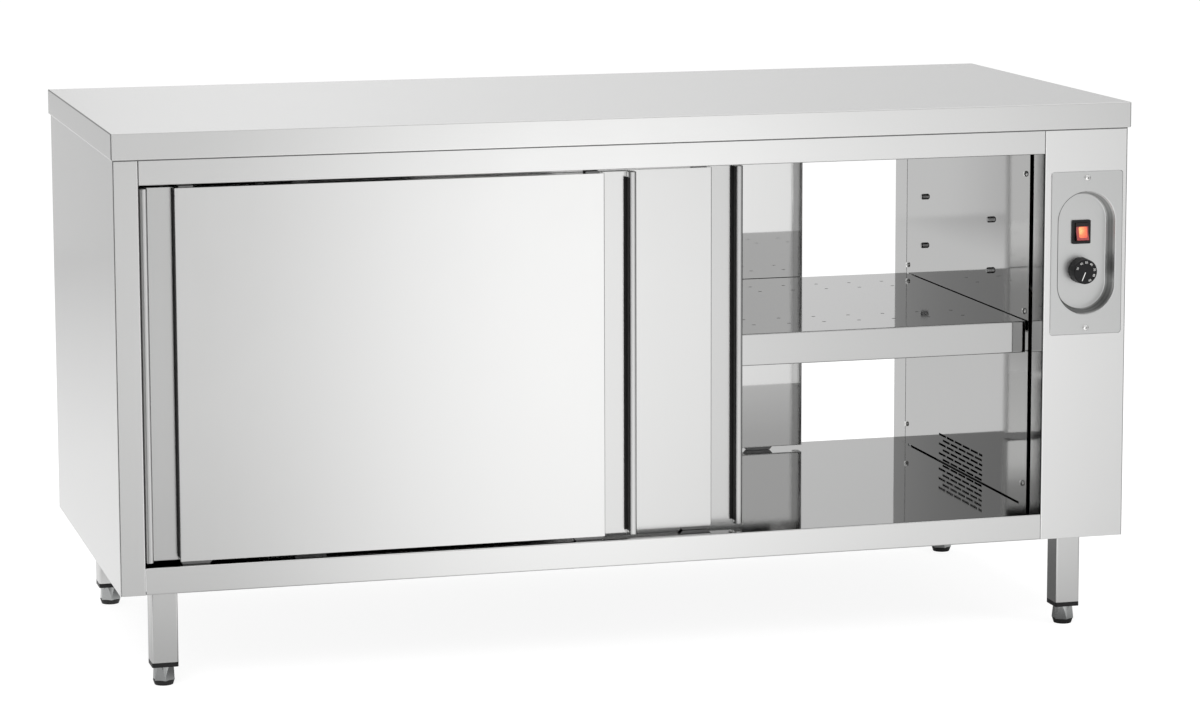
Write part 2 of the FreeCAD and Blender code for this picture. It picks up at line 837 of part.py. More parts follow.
# Door tracks: under each top rail a plate carries two troughs, and the rollers run on their lips.
def door_tracks():
    members = []
    for side in (FRONT, REAR):
        body = new_body("door_track")
        left, right = S.opening_left + S.track_margin, S.opening_right - S.track_margin
        far = S.track_inset + S.door_pitch + S.track_trough
        plate = [(depth(side, inset), z) for inset, z in
                 ((S.track_inset, S.track_top), (far, S.track_top), (far, S.rail_top_low),
                  (S.track_inset, S.rail_top_low))]
        add(body, "YZ", left, right, plate)
        for step in range(2):
            near = S.track_inset + step * S.door_pitch
            path = [
                (depth(side, near), S.rail_top_low),
                (depth(side, near), S.track_bottom),
                (depth(side, near + S.track_trough), S.track_bottom),
                (depth(side, near + S.track_trough), S.lip_top),
            ]
            add(body, "YZ", left, right, folded(path, -side * S.track_gauge))
        members.append((body, 0, 0, 0, None))
    group("door_tracks", members)


# Shelf: a tray turned down on all sides, on studs, with two hats under it.
def shelf():
    body = new_body("shelf")
    low = S.shelf_top - S.shelf_edge
    gauge, bend = S.panel_gauge, S.panel_bend
    path = [
        (S.shelf_front + S.shelf_return, low),
        (S.shelf_front, low, bend),
        (S.shelf_front, S.shelf_top, bend),
        (S.shelf_rear, S.shelf_top, bend),
        (S.shelf_rear, low, bend),
        (S.shelf_rear - S.shelf_return, low),
    ]
    add(body, "YZ", S.shelf_left, S.shelf_right, folded(path, -gauge))
    flange = rectangle(S.shelf_front + gauge / 2, S.shelf_rear - gauge / 2,
                       S.shelf_top - S.shelf_end_flange, S.shelf_top - gauge / 2, bend - gauge / 2)
    add(body, "YZ", S.shelf_left, S.shelf_left + gauge, flange)
    add(body, "YZ", S.shelf_right - gauge, S.shelf_right, flange)
    kept(body)
    hat = hat_form("shelf_hat", S.shelf_right - S.shelf_left - S.hat_end_clear)
    middle = (S.shelf_front + S.shelf_rear) / 2
    members = [(hat, S.shelf_left + S.hat_end_clear / 2, middle + side * S.shelf_hat_spread,
                S.shelf_top - S.panel_gauge, None) for side in (FRONT, REAR)]
    group("shelf_stiffeners", members)


# Legs: square tubes up to the floor plate, a plastic cap in each, and a screwed foot.
CORNERS = [("front_left", LEFT, FRONT), ("front_right", RIGHT, FRONT),
           ("rear_left", LEFT, REAR), ("rear_right", RIGHT, REAR)]


def legs():
    tube = new_body("leg_tube")
    size, gauge = S.leg_size, S.leg_gauge
    add(tube, "XY", S.tube_low, S.floor_top - S.panel_gauge,
        centred(0, 0, size, size, S.leg_corner),
        centred(0, 0, size - 2 * gauge, size - 2 * gauge, S.leg_corner - gauge))
    cap = new_body("leg_cap")
    plug = size - 2 * gauge - 2 * S.fit_gap
    add(cap, "XY", S.cap_low, S.tube_low, centred(0, 0, size, size, S.leg_corner))
    add(cap, "XY", S.tube_low, S.tube_low + S.cap_plug, centred(0, 0, plug, plug, S.leg_corner - gauge))
    cut(cap, "XY", S.cap_low - S.overrun, S.tube_low + S.cap_plug + S.overrun,
        ([(0, 0)], S.spindle_radius + S.fit_gap))
    group("leg_tubes", [(tube, x * S.leg_x, y * S.leg_y, 0, None) for _, x, y in CORNERS])
    group("leg_caps", [(cap, x * S.leg_x, y * S.leg_y, 0, None) for _, x, y in CORNERS])


def hexagon(flats):
    """The corners of a hexagon about the origin, by its width across flats."""
    reach = 1 / (2 * math.cos(math.pi / 6))
    turns = [math.pi / 6 + corner * math.pi / 3 for corner in range(6)]
    return [(flats * (reach * math.cos(turn)), flats * (reach * math.sin(turn))) for turn in turns]


def foot(name, x, y):
    pad = new_body(name + "_foot_pad")
    revolve(pad, [(0, 0), (S.foot_pad_bottom_radius, 0), (S.foot_pad_top_radius, S.foot_pad_height),
                  (0, S.foot_pad_height)])
    place(pad, x, y, 0)
    kept(pad)
    spindle = new_body(name + "_foot_spindle")
    top = S.foot_pad_height + S.foot_sleeve_height
    revolve(spindle, [(0, S.foot_pad_height), (S.foot_sleeve_bottom_radius, S.foot_pad_height),
                      (S.foot_sleeve_top_radius, top), (S.spindle_radius, top),
                      (S.spindle_radius, S.spindle_length), (0, S.spindle_length)])
    around = 2 * S.foot_sleeve_bottom_radius
    cut(spindle, "XY", S.foot_pad_height - S.overrun, top + S.fit_gap / 2,
        centred(0, 0, around + S.overrun, around + S.overrun), hexagon(S.foot_sleeve_flats))
    place(spindle, x, y, 0)
    kept(spindle)


def feet():
    for name, x, y in CORNERS:
        foot(name, x * S.leg_x, y * S.leg_y)


# Doors: a deep skin with a finger channel and a rounded lip at each end, a back tray, hangers and glides.
DOORS = [
    ("front_outer_door", FRONT, 0, S.opening_left + S.door_side_gap),
    ("front_inner_door", FRONT, 1, S.opening_right - S.door_side_gap - S.front_inner_open - S.door_width),
    ("rear_outer_door", REAR, 0, S.opening_left + S.door_side_gap),
    ("rear_inner_door", REAR, 1, S.opening_right - S.door_side_gap - S.rear_inner_open - S.door_width),
]


def door_section(left, side, face, wall, back):
    """The outline of a door seen from above, a wall thickness inside its outer surface."""
    lip, channel, deep = S.lip_width, S.channel_width, S.channel_depth
    right = left + S.door_width
    bend = S.lip_round - wall
    fold = S.channel_bend - wall
    hollow = S.channel_bend - S.door_gauge + wall
    corners = [
        (left + wall, back),
        (left + wall, wall, bend),
        (left + lip - wall, wall, bend),
        (left + lip - wall, deep + wall, hollow),
        (left + lip + channel + wall, deep + wall, hollow),
        (left + lip + channel + wall, wall, fold),
        (right - lip - channel - wall, wall, fold),
        (right - lip - channel - wall, deep + wall, hollow),
        (right - lip + wall, deep + wall, hollow),
        (right - lip + wall, wall, bend),
        (right - wall, wall, bend),
        (right - wall, back),
    ]
    return [(corner[0], depth(side, face + corner[1]), *corner[2:]) for corner in corners]


def hanger_form(side):
    """A foot on the door, an arm behind the roller and the roller's axle; the door's face is at Y = 0."""
    body = new_body("hanger")
    line = S.track_line - S.door_recess
    arm = line + S.roller_width / 2 + S.hanger_setback
    top = S.axle_height - S.door_top + S.roller_radius * 3 / 4
    inward = -side
    elbow = inward * (arm + S.hanger_gauge)
    path = [(inward * S.hanger_gauge, 0), (elbow, 0), (elbow, top)]
    add(body, "YZ", -S.hanger_width / 2, S.hanger_width / 2, folded(path, inward * S.hanger_gauge))
    start, stop = inward * (line - S.roller_width / 2), inward * (arm + S.hanger_gauge / 2)
    low, high = (start, stop) if side == FRONT else (stop, start)
    add(body, "XZ", low, high, ([(0, S.axle_height - S.door_top)], S.axle_radius))
    return body


def glide_form():
    """A low skid with raked ends, under the door; its top is at Z = 0."""
    body = new_body("glide")
    half, deep = S.glide_length / 2, S.glide_clear - S.door_gap
    add(body, "XZ", -S.glide_depth / 2, S.glide_depth / 2,
        [(-half, 0), (S.glide_rake - half, deep), (half - S.glide_rake, deep), (half, 0)])
    return body


def roller_form():
    """A roller with a groove round it, about its own Z axis."""
    body = new_body("roller")
    bore = S.axle_radius + S.axle_fit
    half, groove = S.roller_width / 2, S.groove_width / 2
    flare = groove + S.groove_flare
    rim, bottom = S.roller_radius, S.groove_radius
    revolve(body, [(bore, -half), (rim, -half), (rim, -flare), (bottom, -groove),
                   (bottom, groove), (rim, flare), (rim, half), (bore, half)])
    return body


def doors():
    hangers = {side: hanger_form(side) for side in (FRONT, REAR)}
    glide = glide_form()
    for name, side, row, left in DOORS:
        face = S.door_recess + row * S.door_pitch
        gauge = S.door_gauge
        nest = S.door_thickness - gauge
        skin = new_body(name + "_skin")
        add(skin, "XY", S.door_bottom, S.door_top, door_section(left, side, face, 0, nest))
        cut(skin, "XY", S.door_bottom + gauge, S.door_top - gauge,
            door_section(left, side, face, gauge, nest + S.overrun))
        kept(skin)

        back = new_body(name + "_back")
        inset = gauge + S.fit_gap
        rear = face + S.door_thickness
        path = [
            (left + inset, depth(side, rear - S.door_nest)),
            (left + inset, depth(side, rear)),
            (left + S.door_width - inset, depth(side, rear)),
            (left + S.door_width - inset, depth(side, rear - S.door_nest)),
        ]
        add(back, "XY", S.door_bottom + inset, S.door_top - inset, folded(path, side * gauge))
        kept(back)

        members = []
        for end in (S.hanger_inset, S.door_width - S.hanger_inset):
            members.append((hangers[side], left + end, depth(side, face), S.door_top, None))
        for end in (S.glide_inset, S.door_width - S.glide_inset):
            members.append((glide, left + end, depth(side, face + S.door_thickness / 2), S.door_bottom, None))
        group(name + "_runners", members)

        line = S.track_line + row * S.door_pitch
        ends = (("left", S.hanger_inset), ("right", S.door_width - S.hanger_inset))
        for end, inset_x in ends:
            roller = roller_form()
            place(roller, left + inset_x, depth(side, line), S.axle_height, turned(X_AXIS, 90))
            kept(roller, f"{name}_{end}_roller")


# Rear cover of the heater compartment: it also makes the rear reveal beside the doors.
def rear_service_cover():
    body = new_body("rear_service_cover")
    path = [
        (S.opening_right, depth(REAR, S.rear_return)),
        (S.opening_right, depth(REAR, 0), S.panel_bend),
        (S.half_width, depth(REAR, 0)),
    ]
    add(body, "XY", S.leg_clearance, S.body_top, folded(path, -S.panel_gauge))
    cut(body, "XZ", depth(REAR, S.overrun), depth(REAR, -S.overrun),
        (cover_screw_places(), S.screw_radius + S.screw_clear))
    kept(body)


def recess_edges(shape, front):
    """The names of the edges round the mouth and the floor of the recess."""
    names = []
    levels = (front.value, S.recess_floor.value)
    reach = ((S.recess_width + S.plate_gauge) / 2).value
    for number, edge in enumerate(shape.Edges, 1):
        box = edge.BoundBox
        off = min(abs(box.YMin - level) + abs(box.YMax - level) for level in levels)
        middle = S.plate_x.value
        if off < S.fit_gap.value and box.XMax < middle + reach and box.XMin > middle - reach:
            names.append(f"Edge{number}")
    return names


# Control plate: a bevelled plate pressed into a deep stadium recess with sloping sides.
def control_plate():
    body = new_body("control_plate")
    front, back = depth(FRONT, -S.plate_gauge), depth(FRONT, 0)
    plate = add(body, "XZ", front, back,
                centred(S.plate_x, S.plate_z, S.plate_width, S.plate_height, S.plate_corner))
    doc.recompute()
    bevel = body.newObject("PartDesign::Chamfer", "plate_bevel_edge")
    places = [face.CenterOfMass.y for face in plate.Shape.Faces]
    front_face = places.index(min(places)) + 1
    bevel.Base = (plate, [f"Face{front_face}"])
    bind(bevel, Size=S.plate_bevel)
    body.Tip = bevel

    def stadium(shrink, spread):
        width = S.recess_width - shrink + spread
        return centred(S.plate_x, S.plate_z, width, S.recess_height - shrink + spread, width / 2)

    wall = 2 * S.plate_gauge
    taper = 2 * S.recess_draft
    loft(body, "AdditiveLoft", "XZ", [(-back, stadium(0, wall)), (-S.recess_back, stadium(taper, wall))])
    mouth, floor = (-front, stadium(0, 0)), (-S.recess_floor, stadium(taper, 0))
    pressed = loft(body, "SubtractiveLoft", "XZ", [mouth, floor])
    doc.recompute()
    bends = body.newObject("PartDesign::Fillet", "recess_bends")
    bends.Base = (pressed, recess_edges(pressed.Shape, front))
    bind(bends, Radius=S.recess_bend)
    body.Tip = bends
    gap = 2 * S.fit_gap
    low, high = S.recess_floor - S.overrun, S.recess_floor + S.overrun
    cut(body, "XZ", low, high, centred(S.plate_x, S.switch_z, S.switch_width + gap, S.switch_height + gap))
    cut(body, "XZ", low, high, ([(S.plate_x, S.knob_z)], S.shaft_root))
    cut(body, "XZ", front - S.overrun, back + S.overrun,
        (plate_screw_places(), S.screw_radius + S.screw_clear))
    kept(body)


# Rocker switch: a hollow housing through the recess floor, and a rocker on a pivot across it.
def switch():
    body = new_body("switch_housing")
    x, z = S.plate_x, S.switch_z
    front = S.recess_floor - S.bezel_thick
    add(body, "XZ", front, S.recess_floor, centred(x, z, S.bezel_width, S.bezel_height, S.bezel_corner))
    add(body, "XZ", S.recess_floor, S.recess_floor + S.switch_depth,
        centred(x, z, S.switch_width, S.switch_height))
    gap = 2 * S.rocker_clear
    cut(body, "XZ", front - S.overrun, front + S.rocker_well,
        centred(x, z, S.rocker_width + gap, S.rocker_height + gap))
    kept(body)

    rocker = new_body("switch_rocker")
    half = S.rocker_height / 2
    root = S.rocker_root_half
    section = [
        (-S.rocker_valley, 0),
        (-S.rocker_crest, -half),
        (0, -half),
        (S.rocker_root, -root),
        (S.rocker_root, root),
        (0, half),
        (-S.rocker_crest, half),
    ]
    add(rocker, "YZ", -S.rocker_width / 2, S.rocker_width / 2, section)
    place(rocker, x, front + S.rocker_pivot, z, turned(X_AXIS, ROCKER_TILT))
    kept(rocker)


# Thermostat: a body behind the recess floor, its shaft, and a knob whose rim is fluted for the fingers.
def thermostat():
    body = new_body("thermostat_body")
    x, z = S.plate_x, S.knob_z
    size = S.thermostat_size
    add(body, "XZ", S.recess_back, S.recess_back + S.thermostat_depth, centred(x, z, size, size))
    bore = S.shaft_radius + S.axle_fit
    add(body, "XZ", S.recess_floor, S.recess_back, ([(x, z)], S.shaft_root - S.fit_gap))
    cut(body, "XZ", S.recess_floor - S.overrun, S.recess_back + S.shaft_root, ([(x, z)], bore))
    kept(body)

    shaft = new_body("thermostat_shaft")
    add(shaft, "XZ", S.recess_floor - S.shaft_reach, S.recess_back + S.shaft_root - S.fit_gap,
        ([(x, z)], S.shaft_radius))
    kept(shaft)

    knob = new_body("thermostat_knob")
    high = S.recess_depth
    low = S.knob_clear
    bevel = S.knob_bevel
    hollow = S.shaft_reach + S.fit_gap
    revolve(knob, [(bore, low), (S.knob_radius, low), (S.knob_face_radius, high - bevel),
                   (S.knob_face_radius - bevel, high), (0, high), (0, hollow), (bore, hollow)])
    flute = cut(knob, "XY", low - S.overrun, high + S.overrun,
                ([(S.knob_radius + S.knob_flute_radius - S.knob_flute_bite, 0)], S.knob_flute_radius))
    ring = knob.newObject("PartDesign::PolarPattern", "knob_flutes")
    ring.Originals = [flute]
    ring.Axis = (flute.Profile[0], ["N_Axis"])
    ring.Angle = 360
    ring.Occurrences = KNOB_FLUTES
    knob.Tip = ring
    place(knob, x, S.recess_floor, z, turned(X_AXIS, 90))
    kept(knob)


# Heater: a box over the grille, a bent tubular element in it and a fan on its far side.
def heater_box():
    body = new_body("heater_box")
    top = S.floor_top + S.heater_height
    gauge = S.heater_gauge
    add(body, "XY", S.floor_top, top, rectangle(S.heater_left, S.heater_right, S.heater_front, S.heater_rear))
    cut(body, "XY", S.floor_top + gauge, top - gauge,
        rectangle(S.heater_left - S.overrun, S.heater_right - gauge,
                  S.heater_front + gauge, S.heater_rear - gauge))
    cut(body, "YZ", S.heater_right - S.overrun, S.heater_right + S.overrun,
        ([(S.fan_y, S.fan_z)], S.fan_bore_radius))
    heights = element_heights()
    ends = [(S.element_x, heights[0]), (S.element_x, heights[-1])]
    cut(body, "XZ", S.heater_front - S.overrun, S.heater_front + S.overrun,
        (ends, S.element_radius + S.fit_gap),
        ([(S.probe_x, S.floor_top + S.probe_rise)], S.probe_radius + S.fit_gap))
    kept(body)


def element_heights():
    """The heights of the element's runs, two bend radii apart; the stack sits low, under the probe."""
    first = S.floor_top + (S.heater_height - ELEMENT_RUNS * 2 * S.element_bend + S.element_bend) / 2
    return [first + run * 2 * S.element_bend for run in range(ELEMENT_RUNS)]


def heating_element():
    body = new_body("heating_element")
    bend = S.element_bend
    heights = element_heights()
    last = len(heights) - 1
    front = S.heater_front - S.element_tail
    near = S.fan_y - S.element_run / 2
    far = S.fan_y + S.element_run / 2
    path = sketch_on(body, "YZ", S.element_x)
    tip = None
    for run, z in enumerate(heights):
        outward = run % 2 == 0
        start = (front if run == 0 else (near if outward else far), z)
        stop = (front if run == last else (far if outward else near), z)
        line = path.addGeometry(Part.LineSegment(vector(start), vector(stop)), False)
        if tip is None:
            pin(path, line, 1, start)
        else:
            path.addConstraint(Sketcher.Constraint("Coincident", *tip, line, 1))
        pin(path, line, 2, stop)
        if run == last:
            break
        circle = Part.Circle(vector((stop[0], z + bend)), FreeCAD.Vector(0, 0, 1), bend.value)
        low, high = (-math.pi / 2, math.pi / 2) if outward else (math.pi / 2, 3 * math.pi / 2)
        arc = path.addGeometry(Part.ArcOfCircle(circle, low, high), False)
        begin, end = (1, 2) if outward else (2, 1)
        path.addConstraint(Sketcher.Constraint("Coincident", line, 2, arc, begin))
        pin(path, arc, 3, (stop[0],))
        pin(path, arc, end, (stop[0], heights[run + 1]))
        tip = (arc, end)
    section = sketch_on(body, "XZ", -front)
    circles(section, [(S.element_x, heights[0])], S.element_radius)
    pipe = body.newObject("PartDesign::AdditivePipe", "element_tube")
    pipe.Profile = section
    pipe.Spine = path
    kept(body)


def fan():
    frame = new_body("fan_frame")
    left = S.heater_right
    right = left + S.fan_thick
    y, z, size = S.fan_y, S.fan_z, S.fan_size
    add(frame, "YZ", left, right, centred(y, z, size, size, S.fan_wall))
    cut(frame, "YZ", left - S.overrun, right + S.overrun, ([(y, z)], S.fan_bore_radius))
    back = right - S.fan_strut
    reach = S.fan_bore_radius + S.fan_wall / 2
    add(frame, "YZ", back, right, centred(y, z, 2 * reach, S.fan_strut))
    add(frame, "YZ", back, right, centred(y, z, S.fan_strut, 2 * reach))
    add(frame, "YZ", back, right, ([(y, z)], S.fan_hub_radius))
    cut(frame, "YZ", back - S.overrun, right + S.overrun, ([(y, z)], S.fan_pin_radius + S.axle_fit))
    kept(frame)

    rotor = new_body("fan_impeller")
    hub, tip = S.fan_hub_radius, S.fan_blade_radius
    height = S.fan_blade_height
    high = -S.fan_strut - S.fan_gap
    low = high - height
    add(rotor, "XY", low, high, ([(0, 0)], hub))
    add(rotor, "XY", high, 0, ([(0, 0)], S.fan_pin_radius))
    doc.recompute()
    gauge = S.fan_blade_gauge
    root_lean, tip_lean = height / 2, height

    def blade_section(lean, drop):
        return [(-lean / 2, low + drop), (gauge - lean / 2, low + drop),
                (lean / 2, high - drop), (lean / 2 - gauge, high - drop)]

    blade = loft(rotor, "AdditiveLoft", "XZ", [(hub * 3 / 4, blade_section(root_lean, gauge)),
                                               (tip, blade_section(tip_lean, 3 * gauge))])
    ring = rotor.newObject("PartDesign::PolarPattern", "fan_blades")
    ring.Originals = [blade]
    axis = next(item for item in rotor.Origin.OriginFeatures if item.Role == "Z_Axis")
    ring.Axis = (axis, [""])
    ring.Angle = 360
    ring.Occurrences = FAN_BLADES
    rotor.Tip = ring
    place(rotor, right, y, z, turned(Y_AXIS, 90))
    kept(rotor)


# Temperature probe: a bulb in the heater box on a thin tube from the thermostat.
def temperature_probe():
    body = new_body("temperature_probe")
    x = S.probe_x
    bend = S.capillary_bend
    start = (S.recess_back + S.thermostat_depth, S.knob_z)
    turn_y = start[0] + S.capillary_out
    low = S.floor_top + S.probe_rise
    stop = S.heater_front
    path = sketch_on(body, "YZ", x)
    points = [start, (turn_y - bend, start[1]), (turn_y, start[1] - bend), (turn_y, low + bend),
              (turn_y + bend, low), (stop, low)]
    centres = [(turn_y - bend, start[1] - bend), (turn_y + bend, low + bend)]
    path.addGeometry(Part.LineSegment(vector(points[0]), vector(points[1])), False)
    first = Part.Circle(vector(centres[0]), FreeCAD.Vector(0, 0, 1), bend.value)
    path.addGeometry(Part.ArcOfCircle(first, 0, math.pi / 2), False)
    path.addGeometry(Part.LineSegment(vector(points[2]), vector(points[3])), False)
    second = Part.Circle(vector(centres[1]), FreeCAD.Vector(0, 0, 1), bend.value)
    path.addGeometry(Part.ArcOfCircle(second, math.pi, 3 * math.pi / 2), False)
    path.addGeometry(Part.LineSegment(vector(points[4]), vector(points[5])), False)
    for first_edge, end, next_edge, begin in ((0, 2, 1, 2), (1, 1, 2, 1), (2, 2, 3, 1), (3, 2, 4, 1)):
        path.addConstraint(Sketcher.Constraint("Coincident", first_edge, end, next_edge, begin))
    for edge, end, point in ((0, 1, 0), (0, 2, 1), (2, 1, 2), (2, 2, 3), (4, 1, 4), (4, 2, 5)):
        pin(path, edge, end, points[point])
    radius_of(path, 1, bend)
    radius_of(path, 3, bend)
    section = sketch_on(body, "XZ", -start[0])
    circles(section, [(x, start[1])], S.capillary_radius)
    pipe = body.newObject("PartDesign::AdditivePipe", "capillary")
    pipe.Profile = section
    pipe.Spine = path
    add(body, "XZ", stop - S.capillary_radius, stop + S.probe_length, ([(x, low)], S.probe_radius))
    kept(body)


# Terminal block on the compartment floor, and the gland for the mains lead beside the rear leg.
def terminal_block():
    body = new_body("terminal_block")
    rear = S.heater_front - S.element_tail - S.terminal_depth
    front = rear - S.terminal_depth
    top = S.floor_top + S.terminal_height
    middle = S.plate_x
    half = S.terminal_length / 2
    add(body, "XY", S.floor_top, top, rectangle(middle - half, middle + half, front, rear))
    step = S.terminal_length / 3
    places = [(middle + way * step, top - S.terminal_height / 2) for way in (-1, 0, 1)]
    cut(body, "XZ", front - S.overrun, rear + S.overrun, (places, S.terminal_bore_radius))
    kept(body)


def cable_gland():
    body = new_body("cable_gland")
    nut, radius, bore = S.gland_nut_radius, S.gland_radius, S.terminal_bore_radius
    below = -S.panel_gauge
    revolve(body, [(bore, S.gland_nut_height), (nut, S.gland_nut_height), (nut, 0), (radius, 0),
                   (radius, below), (nut, below), (nut, below - S.gland_drop / 2),
                   (radius, below - S.gland_drop), (bore, below - S.gland_drop)])
    place(body, S.plate_x, S.gland_y, S.floor_top)
    kept(body)


def build():
    worktop()
    stiffeners()
    side_panels()
    top_rails()
    floor_pan()
    ceiling_panel()
    for side in (LEFT, RIGHT):
        inner_wall(side)
    wall_posts()
    screws_and_studs()
    door_tracks()
    shelf()
    legs()
    feet()
    doors()
    rear_service_cover()
    control_plate()
    switch()
    thermostat()
    heater_box()
    heating_element()
    fan()
    temperature_probe()
    terminal_block()
    cable_gland()


def check():
    """Stops unless every object is sound and every pocket takes something away."""
    for item in doc.Objects:
        bad = [word for word in item.State if word in ("Invalid", "Error")]
        if bad:
            raise RuntimeError(f"{item.Label}: {item.State} {item.getStatusString()}")
    for pocket in pocket_checks:
        base = pocket.BaseFeature
        if pocket.Shape.Volume > base.Shape.Volume - LEAST_CUT:
            raise RuntimeError(f"{pocket.Label} cuts nothing")
    for label, item in parts.items():
        if item.Shape.isNull() or not item.Shape.isValid() or not item.Shape.Solids:
            raise RuntimeError(f"{label} has no valid solid")


build()
doc.recompute()
check()
os.makedirs("parts", exist_ok=True)
for label, item in parts.items():
    item.Shape.exportStep(f"parts/{label}.step")
print(f"{len(parts)} sub-parts, {sum(len(item.Shape.Solids) for item in parts.values())} solids")
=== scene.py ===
"""Looks for the plate warmer cabinet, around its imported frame.

Materials, the small pieces that the solids leave out, floor, cards, lights and camera."""
import math

import bmesh
import bpy
from mathutils import Matrix, Vector


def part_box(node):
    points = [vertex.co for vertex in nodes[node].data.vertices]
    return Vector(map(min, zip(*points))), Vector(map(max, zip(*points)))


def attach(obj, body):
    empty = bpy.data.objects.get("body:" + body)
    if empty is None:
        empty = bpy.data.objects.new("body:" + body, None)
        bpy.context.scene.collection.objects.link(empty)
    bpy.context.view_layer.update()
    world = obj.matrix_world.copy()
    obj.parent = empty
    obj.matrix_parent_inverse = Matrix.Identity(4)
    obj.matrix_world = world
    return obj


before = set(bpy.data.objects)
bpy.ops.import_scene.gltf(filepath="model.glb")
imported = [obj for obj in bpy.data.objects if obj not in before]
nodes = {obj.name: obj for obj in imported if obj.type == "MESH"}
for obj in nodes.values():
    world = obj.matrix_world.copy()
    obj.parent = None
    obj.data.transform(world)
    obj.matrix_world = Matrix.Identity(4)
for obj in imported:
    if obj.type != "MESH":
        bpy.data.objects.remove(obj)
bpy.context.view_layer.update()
scene = bpy.context.scene
PAGE_WIDTH, PAGE_HEIGHT = 1200, 723
DOORS = ("front_outer_door", "front_inner_door", "rear_outer_door", "rear_inner_door")
SQUARE = ((-1, -1), (1, -1), (1, 1), (-1, 1))
# Nearly all of a noise texture's values lie between these two.
NOISE_LOW, NOISE_HIGH = 0.3, 0.7


class Graph:
    """The nodes of one material, or of the world, and short calls that build them."""

    def __init__(self, name, world=False):
        self.owner = (bpy.data.worlds if world else bpy.data.materials).new(name)
        self.owner.use_nodes = True
        self.tree = self.owner.node_tree
        self.tree.nodes.clear()
        self.out = self.node("ShaderNodeOutputWorld" if world else "ShaderNodeOutputMaterial")

    def node(self, kind, **settings):
        made = self.tree.nodes.new(kind)
        for key, value in settings.items():
            setattr(made, key, value)
        return made

    def put(self, socket, value):
        if isinstance(value, bpy.types.NodeSocket):
            self.tree.links.new(value, socket)
        else:
            socket.default_value = value

    def math(self, operation, *values, clamp=False):
        made = self.node("ShaderNodeMath", operation=operation, use_clamp=clamp)
        for socket, value in zip(made.inputs, values):
            self.put(socket, value)
        return made.outputs[0]

    def times(self, product, *others):
        """The product of all the values."""
        for other in others:
            product = self.math("MULTIPLY", product, other)
        return product

    def span(self, value, low, high, to_low=0.0, to_high=1.0):
        """A value mapped from one range to another, held at its ends."""
        made = self.node("ShaderNodeMapRange", clamp=True)
        for socket, entry in zip(made.inputs, (value, low, high, to_low, to_high)):
            self.put(socket, entry)
        return made.outputs[0]

    def varied(self, noise, low, high):
        """A noise mapped onto a range."""
        return self.span(noise, NOISE_LOW, NOISE_HIGH, low, high)

    def between(self, value, low, high):
        """1 where a value lies between two limits, 0 elsewhere."""
        above, below = self.math("GREATER_THAN", value, low), self.math("LESS_THAN", value, high)
        return self.times(above, below)

    def where(self, mask, factor):
        """The factor where the mask is 1, and 1 elsewhere."""
        return self.mixed("FLOAT", mask, 1.0, factor)

    def place(self):
        return self.node("ShaderNodeTexCoord").outputs["Object"]

    def facing(self):
        """X, Y and Z of the way the surface looks."""
        return self.parts(self.node("ShaderNodeNewGeometry").outputs["Normal"])

    def scaled(self, vector, scale):
        made = self.node("ShaderNodeMapping")
        self.put(made.inputs["Vector"], vector)
        made.inputs["Scale"].default_value = scale
        return made.outputs[0]

    def noise(self, vector, scale, detail=2.0, roughness=0.5):
        made = self.node("ShaderNodeTexNoise")
        self.put(made.inputs["Vector"], vector)
        made.inputs["Scale"].default_value = scale
        made.inputs["Detail"].default_value = detail
        made.inputs["Roughness"].default_value = roughness
        return made.outputs["Fac"]

    def parts(self, vector):
        made = self.node("ShaderNodeSeparateXYZ")
        self.put(made.inputs[0], vector)
        return made.outputs

    def mixed(self, kind, factor, first, second):
        """From first to second by a factor; kind is FLOAT or VECTOR."""
        made = self.node("ShaderNodeMix", data_type=kind)
        self.put(made.inputs[0], factor)
        index = {"FLOAT": 2, "VECTOR": 4}[kind]
        self.put(made.inputs[index], first)
        self.put(made.inputs[index + 1], second)
        return made.outputs[{"FLOAT": 0, "VECTOR": 1}[kind]]

    def ramp(self, value, stops, interpolation="B_SPLINE"):
        """Grey levels or colours at places between 0 and 1."""
        made = self.node("ShaderNodeValToRGB")
        self.put(made.inputs[0], value)
        band = made.color_ramp
        band.interpolation = interpolation
        while len(band.elements) < len(stops):
            band.elements.new(0.5)
        for element, (place, shade) in zip(band.elements, stops):
            element.position = place
            element.color = (shade if isinstance(shade, tuple) else (shade,) * 3) + (1,)
        return made.outputs[0]

    def bump(self, height, distance, normal=None):
        made = self.node("ShaderNodeBump")
        made.inputs["Strength"].default_value = 1.0
        made.inputs["Distance"].default_value = distance
        self.put(made.inputs["Height"], height)
        if normal is not None:
            self.put(made.inputs["Normal"], normal)
        return made.outputs[0]

    def soft_edges(self, radius):
        made = self.node("ShaderNodeBevel", samples=4)
        made.inputs["Radius"].default_value = radius
        return made.outputs[0]

    def tinted(self, colour, factor):
        """A colour made a little lighter or darker by a factor near 1."""
        made = self.node("ShaderNodeVectorMath", operation="SCALE")
        made.inputs[0].default_value = colour
        self.put(made.inputs["Scale"], factor)
        return made.outputs[0]

    def seen(self, path):
        """1 for rays that show the picture: straight, by a mirror or through glass."""
        direct = self.math("MAXIMUM", path.outputs["Is Camera Ray"], path.outputs["Is Glossy Ray"])
        return self.math("MAXIMUM", direct, path.outputs["Is Transmission Ray"])

    def emission(self, level):
        made = self.node("ShaderNodeEmission")
        self.put(made.inputs["Strength"], level)
        return made.outputs[0]

    def finish(self, shader):
        """Sends a shader to the output and gives back what owns the nodes."""
        self.put(self.out.inputs["Surface"], shader)
        return self.owner

    def surface(self, **values):
        """The principled shader: keys are socket names with _ for a space."""
        made = self.node("ShaderNodeBsdfPrincipled")
        for key, value in values.items():
            self.put(made.inputs[key.replace("_", " ")], value)
        return self.finish(made.outputs[0])


# Scales of the streaks' noise across the grain and along it.
GRAIN, DRAWN = 1600, 6
